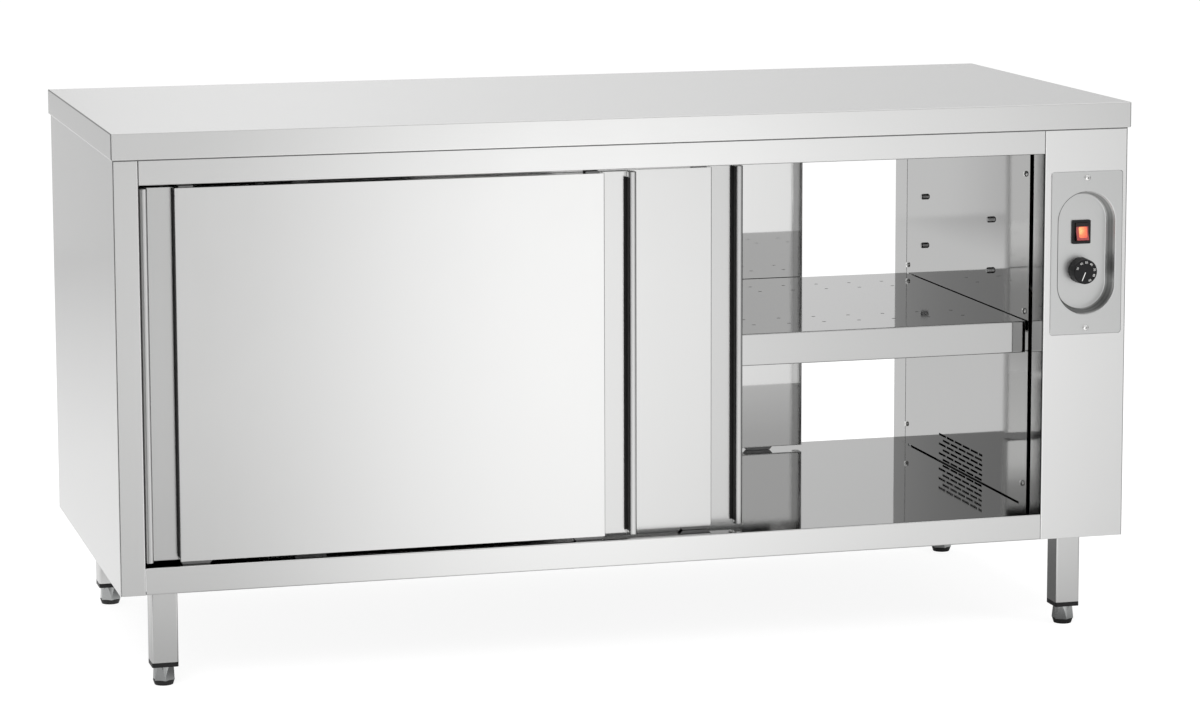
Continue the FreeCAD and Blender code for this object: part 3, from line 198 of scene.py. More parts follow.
# Heights of the bumps in sheet metal: the slow waviness and the streaks.
WAVE, STREAK = 0.0003, 0.000004
# How squarely a face must look one way to take that way's tone, its narrow lines or its grain.
SQUARELY, PARTLY, ENDWAYS = 0.9, 0.4, 0.7
# How the painted shade of a recess falls off: by how far its wall looks up, to the front, and along
# +X.
RECESS_UP, RECESS_SHADE = (0.1, 0.6), 0.7
RECESS_NEAR, RECESS_FAR, RECESS_TURN = (0.25, 0.97), (0.88, 0.995), (-0.1, 0.3)


def painted_recess_shade(graph, depth, facing, mouth, bottom, tones, far):
    """The painted highlight and shade of a drawn recess: by depth on walls that look along -X, one
    painted shade on the others.
    """
    straight = graph.math("ABSOLUTE", facing[1])
    most = max(tone for _, tone in tones)
    drawn = graph.ramp(graph.span(depth, mouth, bottom), [(at, tone / most) for at, tone in tones])
    drawn = graph.times(drawn, graph.span(facing[2], *RECESS_UP, most, most * RECESS_SHADE))
    near = graph.mixed("FLOAT", graph.span(straight, *RECESS_NEAR), drawn, 1.0)
    other = graph.mixed("FLOAT", graph.span(straight, *RECESS_FAR), far, 1.0)
    return graph.mixed("FLOAT", graph.span(facing[0], *RECESS_TURN), near, other)


def sheet_metal(name, colour, roughness, along="X", spread=0.02, edge=0.0008, upward=None,
                inward=None, pressed=None, lines=(), zones=()):
    """Ground or rolled sheet: fine streaks along the grain, a slow waviness and faint clouds.

    upward and inward are the tone and roughness of the faces that look up and along -X; on the
    worktop, the legs and the left side the inward tone is a painted shade. pressed is the Y of the
    mouth and of the bottom of a recess drawn into a sheet that faces the front, then the painted
    highlight and shade from one to the other and the painted shade of its other side. lines are
    narrow bands of painted light or shade on the faces that look one way: (axis and sign of that
    way, axis of the place, low, high, tone). zones are bands across X with painted shade: (low,
    high, tone, added roughness)."""
    graph = Graph(name)
    place = graph.place()
    spot = graph.parts(place)
    facing = graph.facing()
    if along == "X":
        endways = graph.math("GREATER_THAN", graph.math("ABSOLUTE", facing[0]), ENDWAYS)
        grain = graph.mixed("VECTOR", endways, graph.scaled(place, (DRAWN, GRAIN, GRAIN)),
                            graph.scaled(place, (GRAIN, DRAWN, GRAIN)))
    else:
        grain = graph.scaled(place, (GRAIN, GRAIN, DRAWN))
    fine = graph.noise(grain, 1.0, detail=4.0, roughness=0.65)
    slow = graph.noise(place, 2.6)
    cloud = graph.noise(place, 9.0, detail=3.0, roughness=0.6)
    rough = graph.math("ADD", graph.varied(fine, roughness - spread, roughness + spread),
                       graph.varied(cloud, -spread / 2, spread / 2))
    level = graph.math("ADD", graph.varied(fine, 0.992, 1.008), graph.varied(cloud, -0.004, 0.004))
    if upward is not None:
        tone, smooth = upward
        up = graph.math("GREATER_THAN", facing[2], SQUARELY)
        rough = graph.mixed("FLOAT", up, rough, graph.varied(fine, smooth * 0.7, smooth * 1.3))
        level = graph.times(level, graph.where(up, tone))
    # Painted highlight and shade of a recess, by its depth and the way its walls look.
    if pressed is not None:
        level = graph.times(level, painted_recess_shade(graph, spot[1], facing, *pressed))
    # The faces that look along -X: on some sheets a painted shade.
    if inward is not None:
        tone, smooth = inward
        left = graph.math("LESS_THAN", facing[0], -SQUARELY)
        rough = graph.mixed("FLOAT", left, rough, smooth)
        level = graph.times(level, graph.where(left, tone))
    # Narrow bands of painted light or shade.
    for way, sign, axis, low, high, tone in lines:
        looks = graph.math("GREATER_THAN", graph.times(facing[way], sign), PARTLY)
        band = graph.times(graph.between(spot[axis], low, high), looks)
        level = graph.times(level, graph.where(band, tone))
    # Bands across X of painted shade.
    for low, high, tone, added in zones:
        inside = graph.between(spot[0], low, high)
        level = graph.times(level, graph.where(inside, tone))
        if added:
            rough = graph.math("MULTIPLY_ADD", inside, added, rough)
    normal = graph.bump(slow, WAVE, normal=graph.soft_edges(edge))
    normal = graph.bump(fine, STREAK, normal=normal)
    return graph.surface(Base_Color=graph.tinted(colour, level), Metallic=1.0, Roughness=rough,
                         Normal=normal)


def plain_metal(name, colour, roughness, grain=600.0, height=0.00003):
    """Plated, cast or drawn metal: a fine even grain."""
    graph = Graph(name)
    place = graph.place()
    fine = graph.noise(place, grain, detail=3.0, roughness=0.6)
    cloud = graph.noise(place, 25.0, detail=3.0)
    return graph.surface(Base_Color=graph.tinted(colour, graph.varied(cloud, 0.93, 1.07)),
                         Metallic=1.0,
                         Roughness=graph.varied(fine, roughness * 0.8, roughness * 1.2),
                         Normal=graph.bump(fine, height, normal=graph.soft_edges(0.0003)))


def spangled_metal(name, colour, roughness):
    """Galvanised sheet: the zinc's crystals differ a little in tone and gloss."""
    graph = Graph(name)
    cells = graph.node("ShaderNodeTexVoronoi")
    graph.put(cells.inputs["Vector"], graph.place())
    cells.inputs["Scale"].default_value = 90.0
    tone = graph.parts(cells.outputs["Color"])[0]
    return graph.surface(Base_Color=graph.tinted(colour, graph.span(tone, 0, 1, 0.85, 1.1)),
                         Metallic=1.0,
                         Roughness=graph.span(tone, 0, 1, roughness - 0.08, roughness + 0.08),
                         Normal=graph.soft_edges(0.0005))


PLASTIC_GRAIN = 1500.0


def plastic(name, colour, roughness, **extra):
    """Moulded plastic with a fine spark-eroded grain."""
    graph = Graph(name)
    place = graph.place()
    fine = graph.noise(place, PLASTIC_GRAIN)
    wear = graph.noise(place, 60.0, detail=3.0)
    return graph.surface(Base_Color=graph.tinted(colour, graph.varied(wear, 0.9, 1.1)),
                         Roughness=graph.varied(wear, roughness - 0.06, roughness + 0.06),
                         Normal=graph.bump(fine, 0.00004, normal=graph.soft_edges(0.0004)), **extra)


def lit_plastic(name, colour, glow, strength, left, top, roughness):
    """Translucent plastic with a lamp behind it: the glow is uneven, and what lies to the left
    of left and above top gives no glow and is painted nearly black, a painted shade."""
    graph = Graph(name)
    place = graph.place()
    uneven = graph.noise(place, 220.0)
    fine = graph.noise(place, PLASTIC_GRAIN)
    across, _, height = graph.parts(place)
    lit = graph.times(graph.math("GREATER_THAN", across, left),
                      graph.math("LESS_THAN", height, top))
    glowing = graph.times(lit, graph.span(uneven, 0.35, 0.65, strength * 0.7, strength))
    # Outside the glowing part the colour is painted nearly black: painted shade.
    return graph.surface(Base_Color=graph.tinted(colour, graph.span(lit, 0, 1, 0.03, 1.0)),
                         Roughness=graph.varied(fine, roughness - 0.05, roughness + 0.05),
                         Emission_Color=glow + (1,), Emission_Strength=glowing,
                         Normal=graph.bump(fine, 0.00002, normal=graph.soft_edges(0.0006)))


GLOW_SPOT, GLOW_REACH = (0.7264, -0.330, 0.6390), 0.0135
GLOW_STOPS = ((0.0, (1.0, 0.88, 0.36)), (0.28, (1.0, 0.60, 0.24)), (0.6, (0.86, 0.25, 0.12)),
              (1.0, (0.66, 0.10, 0.08)))


def hot_window(name):
    """The rocker's inner window: yellow where the lamp is, orange and red away from it."""
    graph = Graph(name)
    place = graph.place()
    away = graph.node("ShaderNodeVectorMath", operation="DISTANCE")
    graph.put(away.inputs[0], place)
    away.inputs[1].default_value = GLOW_SPOT
    ripple = graph.noise(place, 450.0)
    reach = graph.math("ADD", graph.span(away.outputs["Value"], 0.0, GLOW_REACH),
                       graph.varied(ripple, -0.14, 0.14), clamp=True)
    return graph.surface(Base_Color=(0.5, 0.06, 0.02, 1), Roughness=0.2,
                         Emission_Color=graph.ramp(reach, GLOW_STOPS, "LINEAR"),
                         Emission_Strength=0.9, Normal=graph.bump(ripple, 0.00005))


SATIN = (0.78, 0.78, 0.775)
INNER = (0.455, 0.455, 0.452)
# The control column's satin is painted lighter than the rest of the body's: painted light.
COLUMN = (0.89, 0.89, 0.885)
SHELF = (0.57, 0.57, 0.567)
SATIN_ROUGH = 0.20
# The control plate's recess: the Y of its mouth and of its bottom and the painted shade of its
# other walls, then the painted highlight and shade at places from mouth to bottom.
RECESS_MOUTH, RECESS_BOTTOM, RECESS_OTHER_SHADE = -0.3455, -0.3225, 0.25
RECESS_LIGHT_AND_SHADE = ((0.0, 1.25), (0.12, 1.1), (0.25, 0.72), (0.34, 0.36), (0.5, 0.55), (0.62, 0.50),
                (0.76, 0.32), (0.9, 0.6), (1.0, 1.1))
# Painted lines on the worktop: a painted shade on its top left edge as seen from the left and from
# above, then painted highlights at the bottom of its left skirt and of its front apron.
TOP_PAINTED_LINES = ((0, -1, 2, 0.8402, 0.843, 0.6), (2, 1, 0, -0.801, -0.7982, 0.7),
             (0, -1, 2, 0.801, 0.8046, 1.3), (1, -1, 2, 0.801, 0.8036, 1.12))
# Painted shade on the control column: a dark strip on its reveal just behind the front, a slightly
# darker right side, and a dark right edge.
COLUMN_PAINTED_LINES = ((0, -1, 1, -0.3432, -0.338, 0.25), (0, 1, 2, 0.0, 1.0, 0.84),
                (1, -1, 0, 0.7952, 0.798, 0.6))
satin_across = sheet_metal("satin_across", SATIN, SATIN_ROUGH)
satin_pan = sheet_metal("satin_pan", SATIN, SATIN_ROUGH, upward=(0.62, 0.04))
satin_plate = sheet_metal("satin_plate", (0.73, 0.735, 0.73), 0.34, along="Z", edge=0.0002,
                          pressed=(RECESS_MOUTH, RECESS_BOTTOM, RECESS_LIGHT_AND_SHADE, RECESS_OTHER_SHADE))
# On the worktop, the legs and the left side, the faces that look along -X are painted darker:
# painted shade.
satin_top = sheet_metal("satin_top", SATIN, SATIN_ROUGH, inward=(0.93, 0.20), lines=TOP_PAINTED_LINES)
satin_leg = sheet_metal("satin_leg", SATIN, SATIN_ROUGH, along="Z", inward=(0.7, 0.20))
satin_left = sheet_metal("satin_left", SATIN, SATIN_ROUGH, along="Z", inward=(0.93, 0.20))
satin_cover = sheet_metal("satin_cover", SATIN, SATIN_ROUGH, along="Z", inward=(0.60, 0.06))
satin_column = sheet_metal("satin_column", COLUMN, SATIN_ROUGH, along="Z", inward=(0.53, 0.06),
                           lines=COLUMN_PAINTED_LINES)
bright_across = sheet_metal("bright_across", SHELF, 0.055, spread=0.012)
bright_down = sheet_metal("bright_down", SATIN, 0.025, along="Z", spread=0.008, edge=0.0003)
inner_sheet = sheet_metal("inner_sheet", INNER, 0.04, along="Z", spread=0.01, edge=0.0002)
galvanised = spangled_metal("galvanised", (0.62, 0.64, 0.65), 0.42)
dome_steel = plain_metal("dome_steel", (0.94, 0.94, 0.93), 0.12)
# Black for the screws' cross recesses: painted shade.
recess_shade_black = plain_metal("recess_shade_black", (0.03, 0.03, 0.03), 0.5)
weld_steel = plain_metal("weld_steel", (0.08, 0.08, 0.08), 0.35)
screw_steel = plain_metal("screw_steel", (0.78, 0.78, 0.77), 0.16)
# The shelf studs' steel is painted darker than the screws': painted shade.
shaded_stud_steel = plain_metal("shaded_stud_steel", (0.40, 0.40, 0.40), 0.2)
# The feet's steel is painted dark: painted shade, for the shaded floor that they mirror.
shaded_foot_steel = plain_metal("shaded_foot_steel", (0.47, 0.48, 0.48), 0.2)
zinc = plain_metal("zinc", (0.70, 0.71, 0.72), 0.28)
dull_zinc = plain_metal("dull_zinc", (0.22, 0.22, 0.22), 0.4)
# Nearly black metal for the heater box: painted shade behind the vent grille.
shade_black = plain_metal("shade_black", (0.03, 0.03, 0.03), 0.6)
sheath = plain_metal("sheath", (0.30, 0.28, 0.26), 0.5)
cast_alloy = plain_metal("cast_alloy", (0.55, 0.56, 0.57), 0.45, grain=900.0, height=0.00008)
copper = plain_metal("copper", (0.72, 0.45, 0.30), 0.3)
nylon = plastic("nylon", (0.86, 0.85, 0.80), 0.45)
black = plastic("black", (0.012, 0.012, 0.013), 0.45, Specular_IOR_Level=0.35)
dial_black = plastic("dial_black", (0.010, 0.010, 0.011), 0.5, Specular_IOR_Level=0.3)
gasket = plastic("gasket", (0.012, 0.012, 0.012), 0.6)
# Black for the strips in the finger channels: painted shade of a slot and a dark wall.
channel_shade_black = plastic("channel_shade_black", (0.006, 0.006, 0.006), 0.55)
# Grey for the bead under the worktop's edges, which stands for sealant and paints the shadow line
# there.
shadow_line_grey = plastic("shadow_line_grey", (0.13, 0.13, 0.13), 0.5)
print_white = plastic("print_white", (0.9, 0.9, 0.88), 0.5)
rocker_red = lit_plastic("rocker_red", (0.27, 0.055, 0.055), (0.5, 0.06, 0.06), 0.28,
                         left=0.7199, top=0.6450, roughness=0.25)
window_glow = hot_window("hot_window")

LOOKS = {
    "worktop": satin_top,
    "top_rails": satin_across,
    "left_side_panel": satin_left,
    "right_side_panel": satin_column,
    "rear_service_cover": satin_cover,
    "floor_pan": satin_pan,
    "control_plate": satin_plate,
    "leg_tubes": satin_leg,
    "ceiling_panel": bright_across,
    "left_inner_wall": inner_sheet,
    "right_inner_wall": inner_sheet,
    "shelf": bright_across,
    "door_tracks": galvanised,
    "shelf_stiffeners": galvanised,
    "stiffeners": galvanised,
    "heater_box": shade_black,
    "wall_posts": galvanised,
    "thermostat_body": zinc,
    "thermostat_shaft": zinc,
    "panel_screws": screw_steel,
    "shelf_studs": shaded_stud_steel,
    "terminal_block": nylon,
    "leg_caps": black,
    "switch_housing": black,
    "thermostat_knob": dial_black,
    "fan_impeller": black,
    "cable_gland": black,
    "switch_rocker": rocker_red,
    "heating_element": sheath,
    "fan_frame": cast_alloy,
    "temperature_probe": copper,
}
# The looks of pieces that come several times, by the end of their names.
ENDINGS = {"_door_back": bright_down, "_door_runners": dull_zinc, "_roller": nylon,
           "_foot_pad": gasket, "_foot_spindle": shaded_foot_steel}
# A door's skin is banded across X: lip, finger channel, field, finger channel, lip, with painted
# shade on the lips and the channels and all over the inner doors.
LIP, CHANNEL, CHANNEL_DEEP = 0.012, 0.039, 0.017
LIP_SHADE, CHANNEL_SHADE, INNER_DOOR_SHADE, LIP_ROUGHER = 0.9, 0.86, 0.87, 0.14
for door in DOORS:
    low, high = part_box(door + "_skin")
    tone = INNER_DOOR_SHADE if "inner" in door else 1.0
    start, stop = low[0] + LIP, high[0] - LIP
    bands = ((low[0] - 1, start, LIP_SHADE * tone, LIP_ROUGHER),
             (start, start + CHANNEL, CHANNEL_SHADE * tone, 0),
             (start + CHANNEL, stop - CHANNEL, tone, 0),
             (stop - CHANNEL, stop, CHANNEL_SHADE * tone, 0),
             (stop, high[0] + 1, LIP_SHADE * tone, LIP_ROUGHER))
    LOOKS[door + "_skin"] = sheet_metal(door + "_sheet", SATIN, SATIN_ROUGH, along="Z", zones=bands)
for name, item in nodes.items():
    look = LOOKS.get(name) or next(found for ending, found in ENDINGS.items()
                                   if name.endswith(ending))
    item.data.materials.clear()
    item.data.materials.append(look)


def piece(name, mesh, body, look):
    """A new visible piece on a body."""
    item = bpy.data.objects.new(name, mesh)
    scene.collection.objects.link(item)
    mesh.materials.clear()
    mesh.materials.append(look)
    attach(item, body)


def meshed(name, shape):
    """The mesh of a finished bmesh."""
    made = bpy.data.meshes.new(name)
    shape.to_mesh(made)
    shape.free()
    return made


def walls(shape, one, two):
    """Faces from one ring of vertices to another."""
    count = len(one)
    for index in range(count):
        after = (index + 1) % count
        shape.faces.new((one[index], one[after], two[after], two[index]))


def outward(shape):
    bmesh.ops.recalc_face_normals(shape, faces=shape.faces)


# The dial's numerals and pointer, printed on the knob's face.
DIAL_X, DIAL_Y, DIAL_Z = 0.7295, -0.344, 0.5756
PRINT_THICK = 0.00012
NUMERALS = ((156.7, "30"), (119.0, "40"), (86.0, "50"), (51.3, "60"), (12.8, "70"), (-23.2, "80"),
            (-61.4, "90"))
NUMERAL_RADIUS, NUMERAL_SIZE = 0.0148, 0.0046
POINTER_ANGLE = -113.0
POINTER_FROM, POINTER_TO = 0.0008, 0.0150
POINTER_WIDTH, POINTER_THICK = 0.0013, 0.0004
STAND_UP = Matrix.Rotation(math.pi / 2, 4, "X")


def numeral_mesh(text, angle):
    curve = bpy.data.curves.new("numeral_" + text, "FONT")
    curve.body = text
    curve.size = NUMERAL_SIZE
    curve.align_x = "CENTER"
    curve.align_y = "CENTER"
    curve.extrude = PRINT_THICK / 2
    item = bpy.data.objects.new("numeral", curve)
    scene.collection.objects.link(item)
    mesh = bpy.data.meshes.new_from_object(item)
    bpy.data.objects.remove(item)
    turn = math.radians(angle)
    spot = Vector((DIAL_X + NUMERAL_RADIUS * math.cos(turn), DIAL_Y - PRINT_THICK / 2,
                   DIAL_Z + NUMERAL_RADIUS * math.sin(turn)))
    mesh.transform(Matrix.Translation(spot) @ STAND_UP
                   @ Matrix.Rotation(turn - math.pi / 2, 4, "Z"))
    return mesh


def numerals_mesh(name):
    shape = bmesh.new()
    for angle, text in NUMERALS:
        shape.from_mesh(numeral_mesh(text, angle))
    return meshed(name, shape)


def pointer_mesh(name):
    """A low bar with chamfered top edges, from the dial's middle towards its rim."""
    shape = bmesh.new()
    length, half = POINTER_TO - POINTER_FROM, POINTER_WIDTH / 2
    slope = min(POINTER_WIDTH, POINTER_THICK) * 0.3
    low = [(0, -half), (length, -half), (length, half), (0, half)]
    high = [(slope, slope - half), (length - slope, slope - half), (length - slope, half - slope),
            (slope, half - slope)]
    rings = [[shape.verts.new((x, y, z)) for x, y in ring]
             for ring, z in ((low, 0), (low, POINTER_THICK - slope), (high, POINTER_THICK))]
    shape.faces.new(rings[0][::-1])
    shape.faces.new(rings[-1])
    for one, two in zip(rings, rings[1:]):
        walls(shape, one, two)
    made = meshed(name, shape)
    made.transform(Matrix.Translation((DIAL_X, DIAL_Y, DIAL_Z)) @ STAND_UP
                   @ Matrix.Rotation(math.radians(POINTER_ANGLE), 4, "Z")
                   @ Matrix.Translation((POINTER_FROM, 0, 0)))
    return made


piece("dial_numerals", numerals_mesh("dial_numerals"), "thermostat_dial", print_white)
piece("dial_pointer", pointer_mesh("dial_pointer"), "thermostat_dial", print_white)

# The lit window in the rocker's face: two planes that meet in the valley, in a rounded outline.
ROCKER_SPOT, ROCKER_TILT = (0.7308, -0.3225, 0.6364), -10
ROCKER_HALF, ROCKER_WIDTH = 0.01375, 0.021
ROCKER_VALLEY, ROCKER_CREST = 0.0035, 0.006
WINDOW_TOP, WINDOW_SIDE = ROCKER_HALF - 0.0050, ROCKER_WIDTH / 2 - 0.0036
WINDOW_CORNER, WINDOW_DROP, WINDOW_LIFT = 0.0022, 0.0010, 0.0002
CORNER_STEPS = 6


def rocker_window(name):
    shape = bmesh.new()
    outline = []
    for quarter, (cx, cz) in enumerate(((1, 1), (-1, 1), (-1, -1), (1, -1))):
        for step in range(CORNER_STEPS):
            angle = math.radians(90 * quarter + 90 / (CORNER_STEPS - 1) * step)
            outline.append((cx * (WINDOW_SIDE - WINDOW_CORNER) + WINDOW_CORNER * math.cos(angle),
                            cz * (WINDOW_TOP - WINDOW_CORNER) + WINDOW_CORNER * math.sin(angle)))
    rings = []
    for scale, rise in ((1.0, 0.0), (0.94, WINDOW_LIFT), (0.5, WINDOW_LIFT * 1.3)):
        ring = []
        for x, z in outline:
            x, z = x * scale, z * scale - WINDOW_DROP
            slant = (ROCKER_CREST - ROCKER_VALLEY) * abs(z) / ROCKER_HALF
            ring.append(shape.verts.new((x, -(ROCKER_VALLEY + slant) - rise, z)))
        rings.append(ring)
    for one, two in zip(rings, rings[1:]):
        walls(shape, one, two)
    shape.faces.new(rings[-1])
    made = meshed(name, shape)
    made.transform(Matrix.Translation(ROCKER_SPOT)
                   @ Matrix.Rotation(math.radians(ROCKER_TILT), 4, "X"))
    return made


piece("rocker_window", rocker_window("rocker_window"), "rocker", window_glow)


def extruded(name, outline, low, high, soften):
    """A profile in X and Y raised between two heights, with its edges softened."""
    shape = bmesh.new()
    rings = [[shape.verts.new((x, y, z)) for x, y in outline] for z in (low, high)]
    shape.faces.new(rings[0][::-1])
    shape.faces.new(rings[1])
    walls(shape, *rings)
    outward(shape)
    bmesh.ops.bevel(shape, geom=list(shape.edges), offset=soften, segments=2, affect="EDGES",
                    clamp_overlap=True)
    return meshed(name, shape)


# Painted shade: a black angle in each finger channel, along its bed and up the wall that is on the
# right of someone who faces the front, for the shaded slot and the dark wall there.
SHADE_STRIP_RISE, SHADE_STRIP_THICK, SHADE_STRIP_SOFT = 0.0160, 0.0005, 0.00015
SHADE_STRIP_OVER_BOTTOM = 0.005
SHADE_STRIP_FEET = {"outer_left": 0.0018, "outer_right": 0.0046, "inner_left": 0.0046,
             "inner_right": 0.0046}
SHADE_STRIP_DROPS = {"outer_left": 0.0012, "outer_right": 0.0087, "inner_left": 0.0012,
              "inner_right": 0.0012}
for door in DOORS:
    low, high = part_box(door + "_skin")
    front = door.startswith("front")
    way = -1 if front else 1
    bed = (low[1] if front else high[1]) - way * CHANNEL_DEEP
    ends = ((low[0] + LIP + CHANNEL, high[0] - LIP) if front
            else (low[0] + LIP, high[0] - LIP - CHANNEL))
    for side, wall in zip(("left", "right"), ends):
        place = f"{door.split('_')[1]}_{side}"
        foot, inner = wall + way * SHADE_STRIP_FEET[place], wall + way * SHADE_STRIP_THICK
        rise, over = bed + way * SHADE_STRIP_RISE, bed + way * SHADE_STRIP_THICK
        profile = [(foot, bed), (wall, bed), (wall, rise), (inner, rise), (inner, over),
                   (foot, over)]
        mesh = extruded(door + "_shade_strip", profile, low[2] + SHADE_STRIP_OVER_BOTTOM,
                        high[2] - SHADE_STRIP_DROPS[place], SHADE_STRIP_SOFT)
        piece(f"{door}_{side}_shade_strip", mesh, door, channel_shade_black)

# A grey bead in the corner under the worktop's front and rear edges: it stands for sealant and
# paints the shadow line there.
BEAD_Y, BEAD_Z, BEAD_SHORT = 0.344, 0.802, 0.004
BEAD_HIGH, BEAD_PROUD, BEAD_SIDES = 0.0022, 0.0008, 6


def shadow_line_mesh(name):
    low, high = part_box("worktop")
    shape = bmesh.new()
    for way in (-1, 1):
        rings = []
        for x in (low[0] + BEAD_SHORT, high[0] - BEAD_SHORT):
            ring = [shape.verts.new((x, way * BEAD_Y, BEAD_Z))]
            for step in range(BEAD_SIDES + 1):
                turn = math.pi / 2 * step / BEAD_SIDES
                ring.append(shape.verts.new((x, way * (BEAD_Y + BEAD_PROUD * math.cos(turn)),
                                             BEAD_Z - BEAD_HIGH * math.sin(turn))))
            rings.append(ring)
        one, two = rings
        shape.faces.new(one)
        shape.faces.new(two[::-1])
        walls(shape, one, two)
    outward(shape)
    return meshed(name, shape)


piece("worktop_shadow_line", shadow_line_mesh("worktop_shadow_line"), "cabinet", shadow_line_grey)

# Domed screw heads, each with a cross recess painted black: painted shade.
CROSS_REACH, CROSS_WIDTH, CROSS_THICK, CROSS_SHRINK = 0.0021, 0.0009, 0.0001, 0.85
DOME_RADIUS, WALL_DOME, PLATE_DOME = 0.0045, 0.0004, 0.0011
DOME_RINGS = ((1.0, 0.0), (0.93, 0.42), (0.76, 0.74), (0.5, 0.93), (0.22, 1.0))
DOME_SIDES = 24


def islands(shape):
    """The vertices of each loose part, in the order of the mesh."""
    left = set(shape.verts)
    for first in shape.verts:
        if first not in left:
            continue
        left.discard(first)
        island, edge = [], [first]
        while edge:
            vert = edge.pop()
            island.append(vert)
            for link in vert.link_edges:
                other = link.other_vert(vert)
                if other in left:
                    left.discard(other)
                    edge.append(other)
        yield island


def head_spots(mesh):
    """The middle of each screw head's flat face and the way it looks."""
    spots = []
    shape = bmesh.new()
    shape.from_mesh(mesh)
    bmesh.ops.remove_doubles(shape, verts=shape.verts, dist=1e-6)
    for island in islands(shape):
        points = [vert.co for vert in island]
        spans = [(min(p[k] for p in points), max(p[k] for p in points)) for k in range(3)]
        axis = max(range(3), key=lambda k: spans[k][1] - spans[k][0])
        middle = [(a + b) / 2 for a, b in spans]
        ends = {}
        for end in spans[axis]:
            ends[end] = max((Vector([p[k] - middle[k] for k in range(3) if k != axis]).length
                             for p in points if abs(p[axis] - end) < 1e-5), default=0)
        head = max(ends, key=ends.get)
        normal = Vector([0, 0, 0])
        normal[axis] = 1 if head == spans[axis][1] else -1
        middle[axis] = head
        spots.append((Vector(middle), normal))
    shape.free()
    return spots


def dome_frames():
    """Each head's middle, the way it looks, how far it domes and two ways across it."""
    for spot, normal in head_spots(nodes["panel_screws"].data):
        side = Vector((0, 0, 1))
        rise = WALL_DOME if abs(normal.x) > 0.5 else PLATE_DOME
        yield spot, normal, rise, side, normal.cross(side)


def screw_domes(name):
    shape = bmesh.new()
    turns = [math.tau * step / DOME_SIDES for step in range(DOME_SIDES)]
    for spot, normal, rise, side, other in dome_frames():
        rings = []
        for share, lift in DOME_RINGS:
            rings.append([shape.verts.new(
                spot + normal * rise * lift
                + (side * math.cos(turn) + other * math.sin(turn)) * DOME_RADIUS * share)
                for turn in turns])
        for one, two in zip(rings, rings[1:]):
            walls(shape, one, two)
        shape.faces.new(rings[-1])
        shape.faces.new(rings[0][::-1])
    outward(shape)
    for face in shape.faces:
        face.smooth = len(face.verts) == 4
    return meshed(name, shape)


def cross_recesses(name):
    shape = bmesh.new()
    for spot, normal, rise, side, other in dome_frames():
        for one, two in ((side, other), (other, side)):
            rings = []
            for lift, shrink in ((0.0, 1.0), (rise + CROSS_THICK, CROSS_SHRINK)):
                rings.append([shape.verts.new(
                    spot + normal * lift + one * (CROSS_REACH * shrink * a)
                    + two * (CROSS_WIDTH / 2 * shrink * b)) for a, b in SQUARE])
            shape.faces.new(rings[1])
            shape.faces.new(rings[0][::-1])
            walls(shape, *rings)
    outward(shape)
    return meshed(name, shape)


piece("screw_domes", screw_domes("screw_domes"), "cabinet", dome_steel)
piece("screw_recesses", cross_recesses("screw_recesses"), "cabinet", recess_shade_black)

# The spot welds of the shelf's stiffening hats show as rows of faint marks on its top.
WELD_TOP, WELD_MIDDLE = 0.4907, 0.003
WELD_HATS, WELD_FLANGES = (-0.167, 0.167), (-0.027, 0.027)
WELD_FROM, WELD_TO, WELD_STEP = -0.70, 0.62, 0.0583
WELD_RINGS = ((0.0034, 0.0030, 0.0), (0.0026, 0.0022, 0.00012))
WELD_SIDES = 10


def weld_marks(name):
    shape = bmesh.new()
    turns = [math.tau * step / WELD_SIDES for step in range(WELD_SIDES)]
    for hat in WELD_HATS:
        for flange in WELD_FLANGES:
            y = WELD_MIDDLE + hat + flange
            x = WELD_FROM
            while x < WELD_TO:
                rings = [[shape.verts.new((x + rx * math.cos(turn), y + ry * math.sin(turn),
                                           WELD_TOP + z)) for turn in turns]
                         for rx, ry, z in WELD_RINGS]
                walls(shape, *rings)
                shape.faces.new(rings[1])
                shape.faces.new(rings[0][::-1])
                x += WELD_STEP
    return meshed(name, shape)


piece("shelf_weld_marks", weld_marks("shelf_weld_marks"), "shelf_tray", weld_steel)


# Stage: a floor that shows white with the object's shadow, and cards that only reflections see.
def flat(name, corners, look):
    mesh = bpy.data.meshes.new(name)
    mesh.from_pydata(corners, [], [(0, 1, 2, 3)])
    mesh.materials.append(look)
    item = bpy.data.objects.new(name, mesh)
    scene.collection.objects.link(item)
    return item


# The front of the body mirrors the floor and the front card. Both take the same levels, by the
# place across the body's front where the photograph's viewpoint sees them mirrored.
MIRROR_X, MIRROR_Y, MIRROR_DEPTH = -1.6, 5.27, 5.614
FRONT_SPAN = 2.4
FRONT_GAIN = 1.5
FRONT_LEVELS = ((-2.4, 0.15), (-1.7, 0.60), (-1.2, 1.35), (-0.80, 0.48), (-0.52, 0.90),
                (-0.295, 1.20), (-0.06, 1.33), (0.18, 1.13), (0.42, 0.96), (0.588, 0.91),
                (0.77, 0.80), (1.2, 0.50), (2.4, 0.20))


def front_level(graph, x, y):
    reach = graph.math("DIVIDE", graph.math("SUBTRACT", x, MIRROR_X),
                       graph.math("SUBTRACT", MIRROR_Y, y))
    across = graph.math("MULTIPLY_ADD", reach, MIRROR_DEPTH, MIRROR_X)
    stops = [((at + FRONT_SPAN) / (2 * FRONT_SPAN), level / FRONT_GAIN)
             for at, level in FRONT_LEVELS]
    return graph.times(graph.ramp(graph.span(across, -FRONT_SPAN, FRONT_SPAN), stops), FRONT_GAIN)


FLOOR_REACH = 40
FLOOR_GREY, FLOOR_GLOW = (0.93, 0.93, 0.93), 1.22
# The share of the glow in the floor's look, for straight and for mirrored rays.
GLOW_SHARES = (0.72, 0.9)
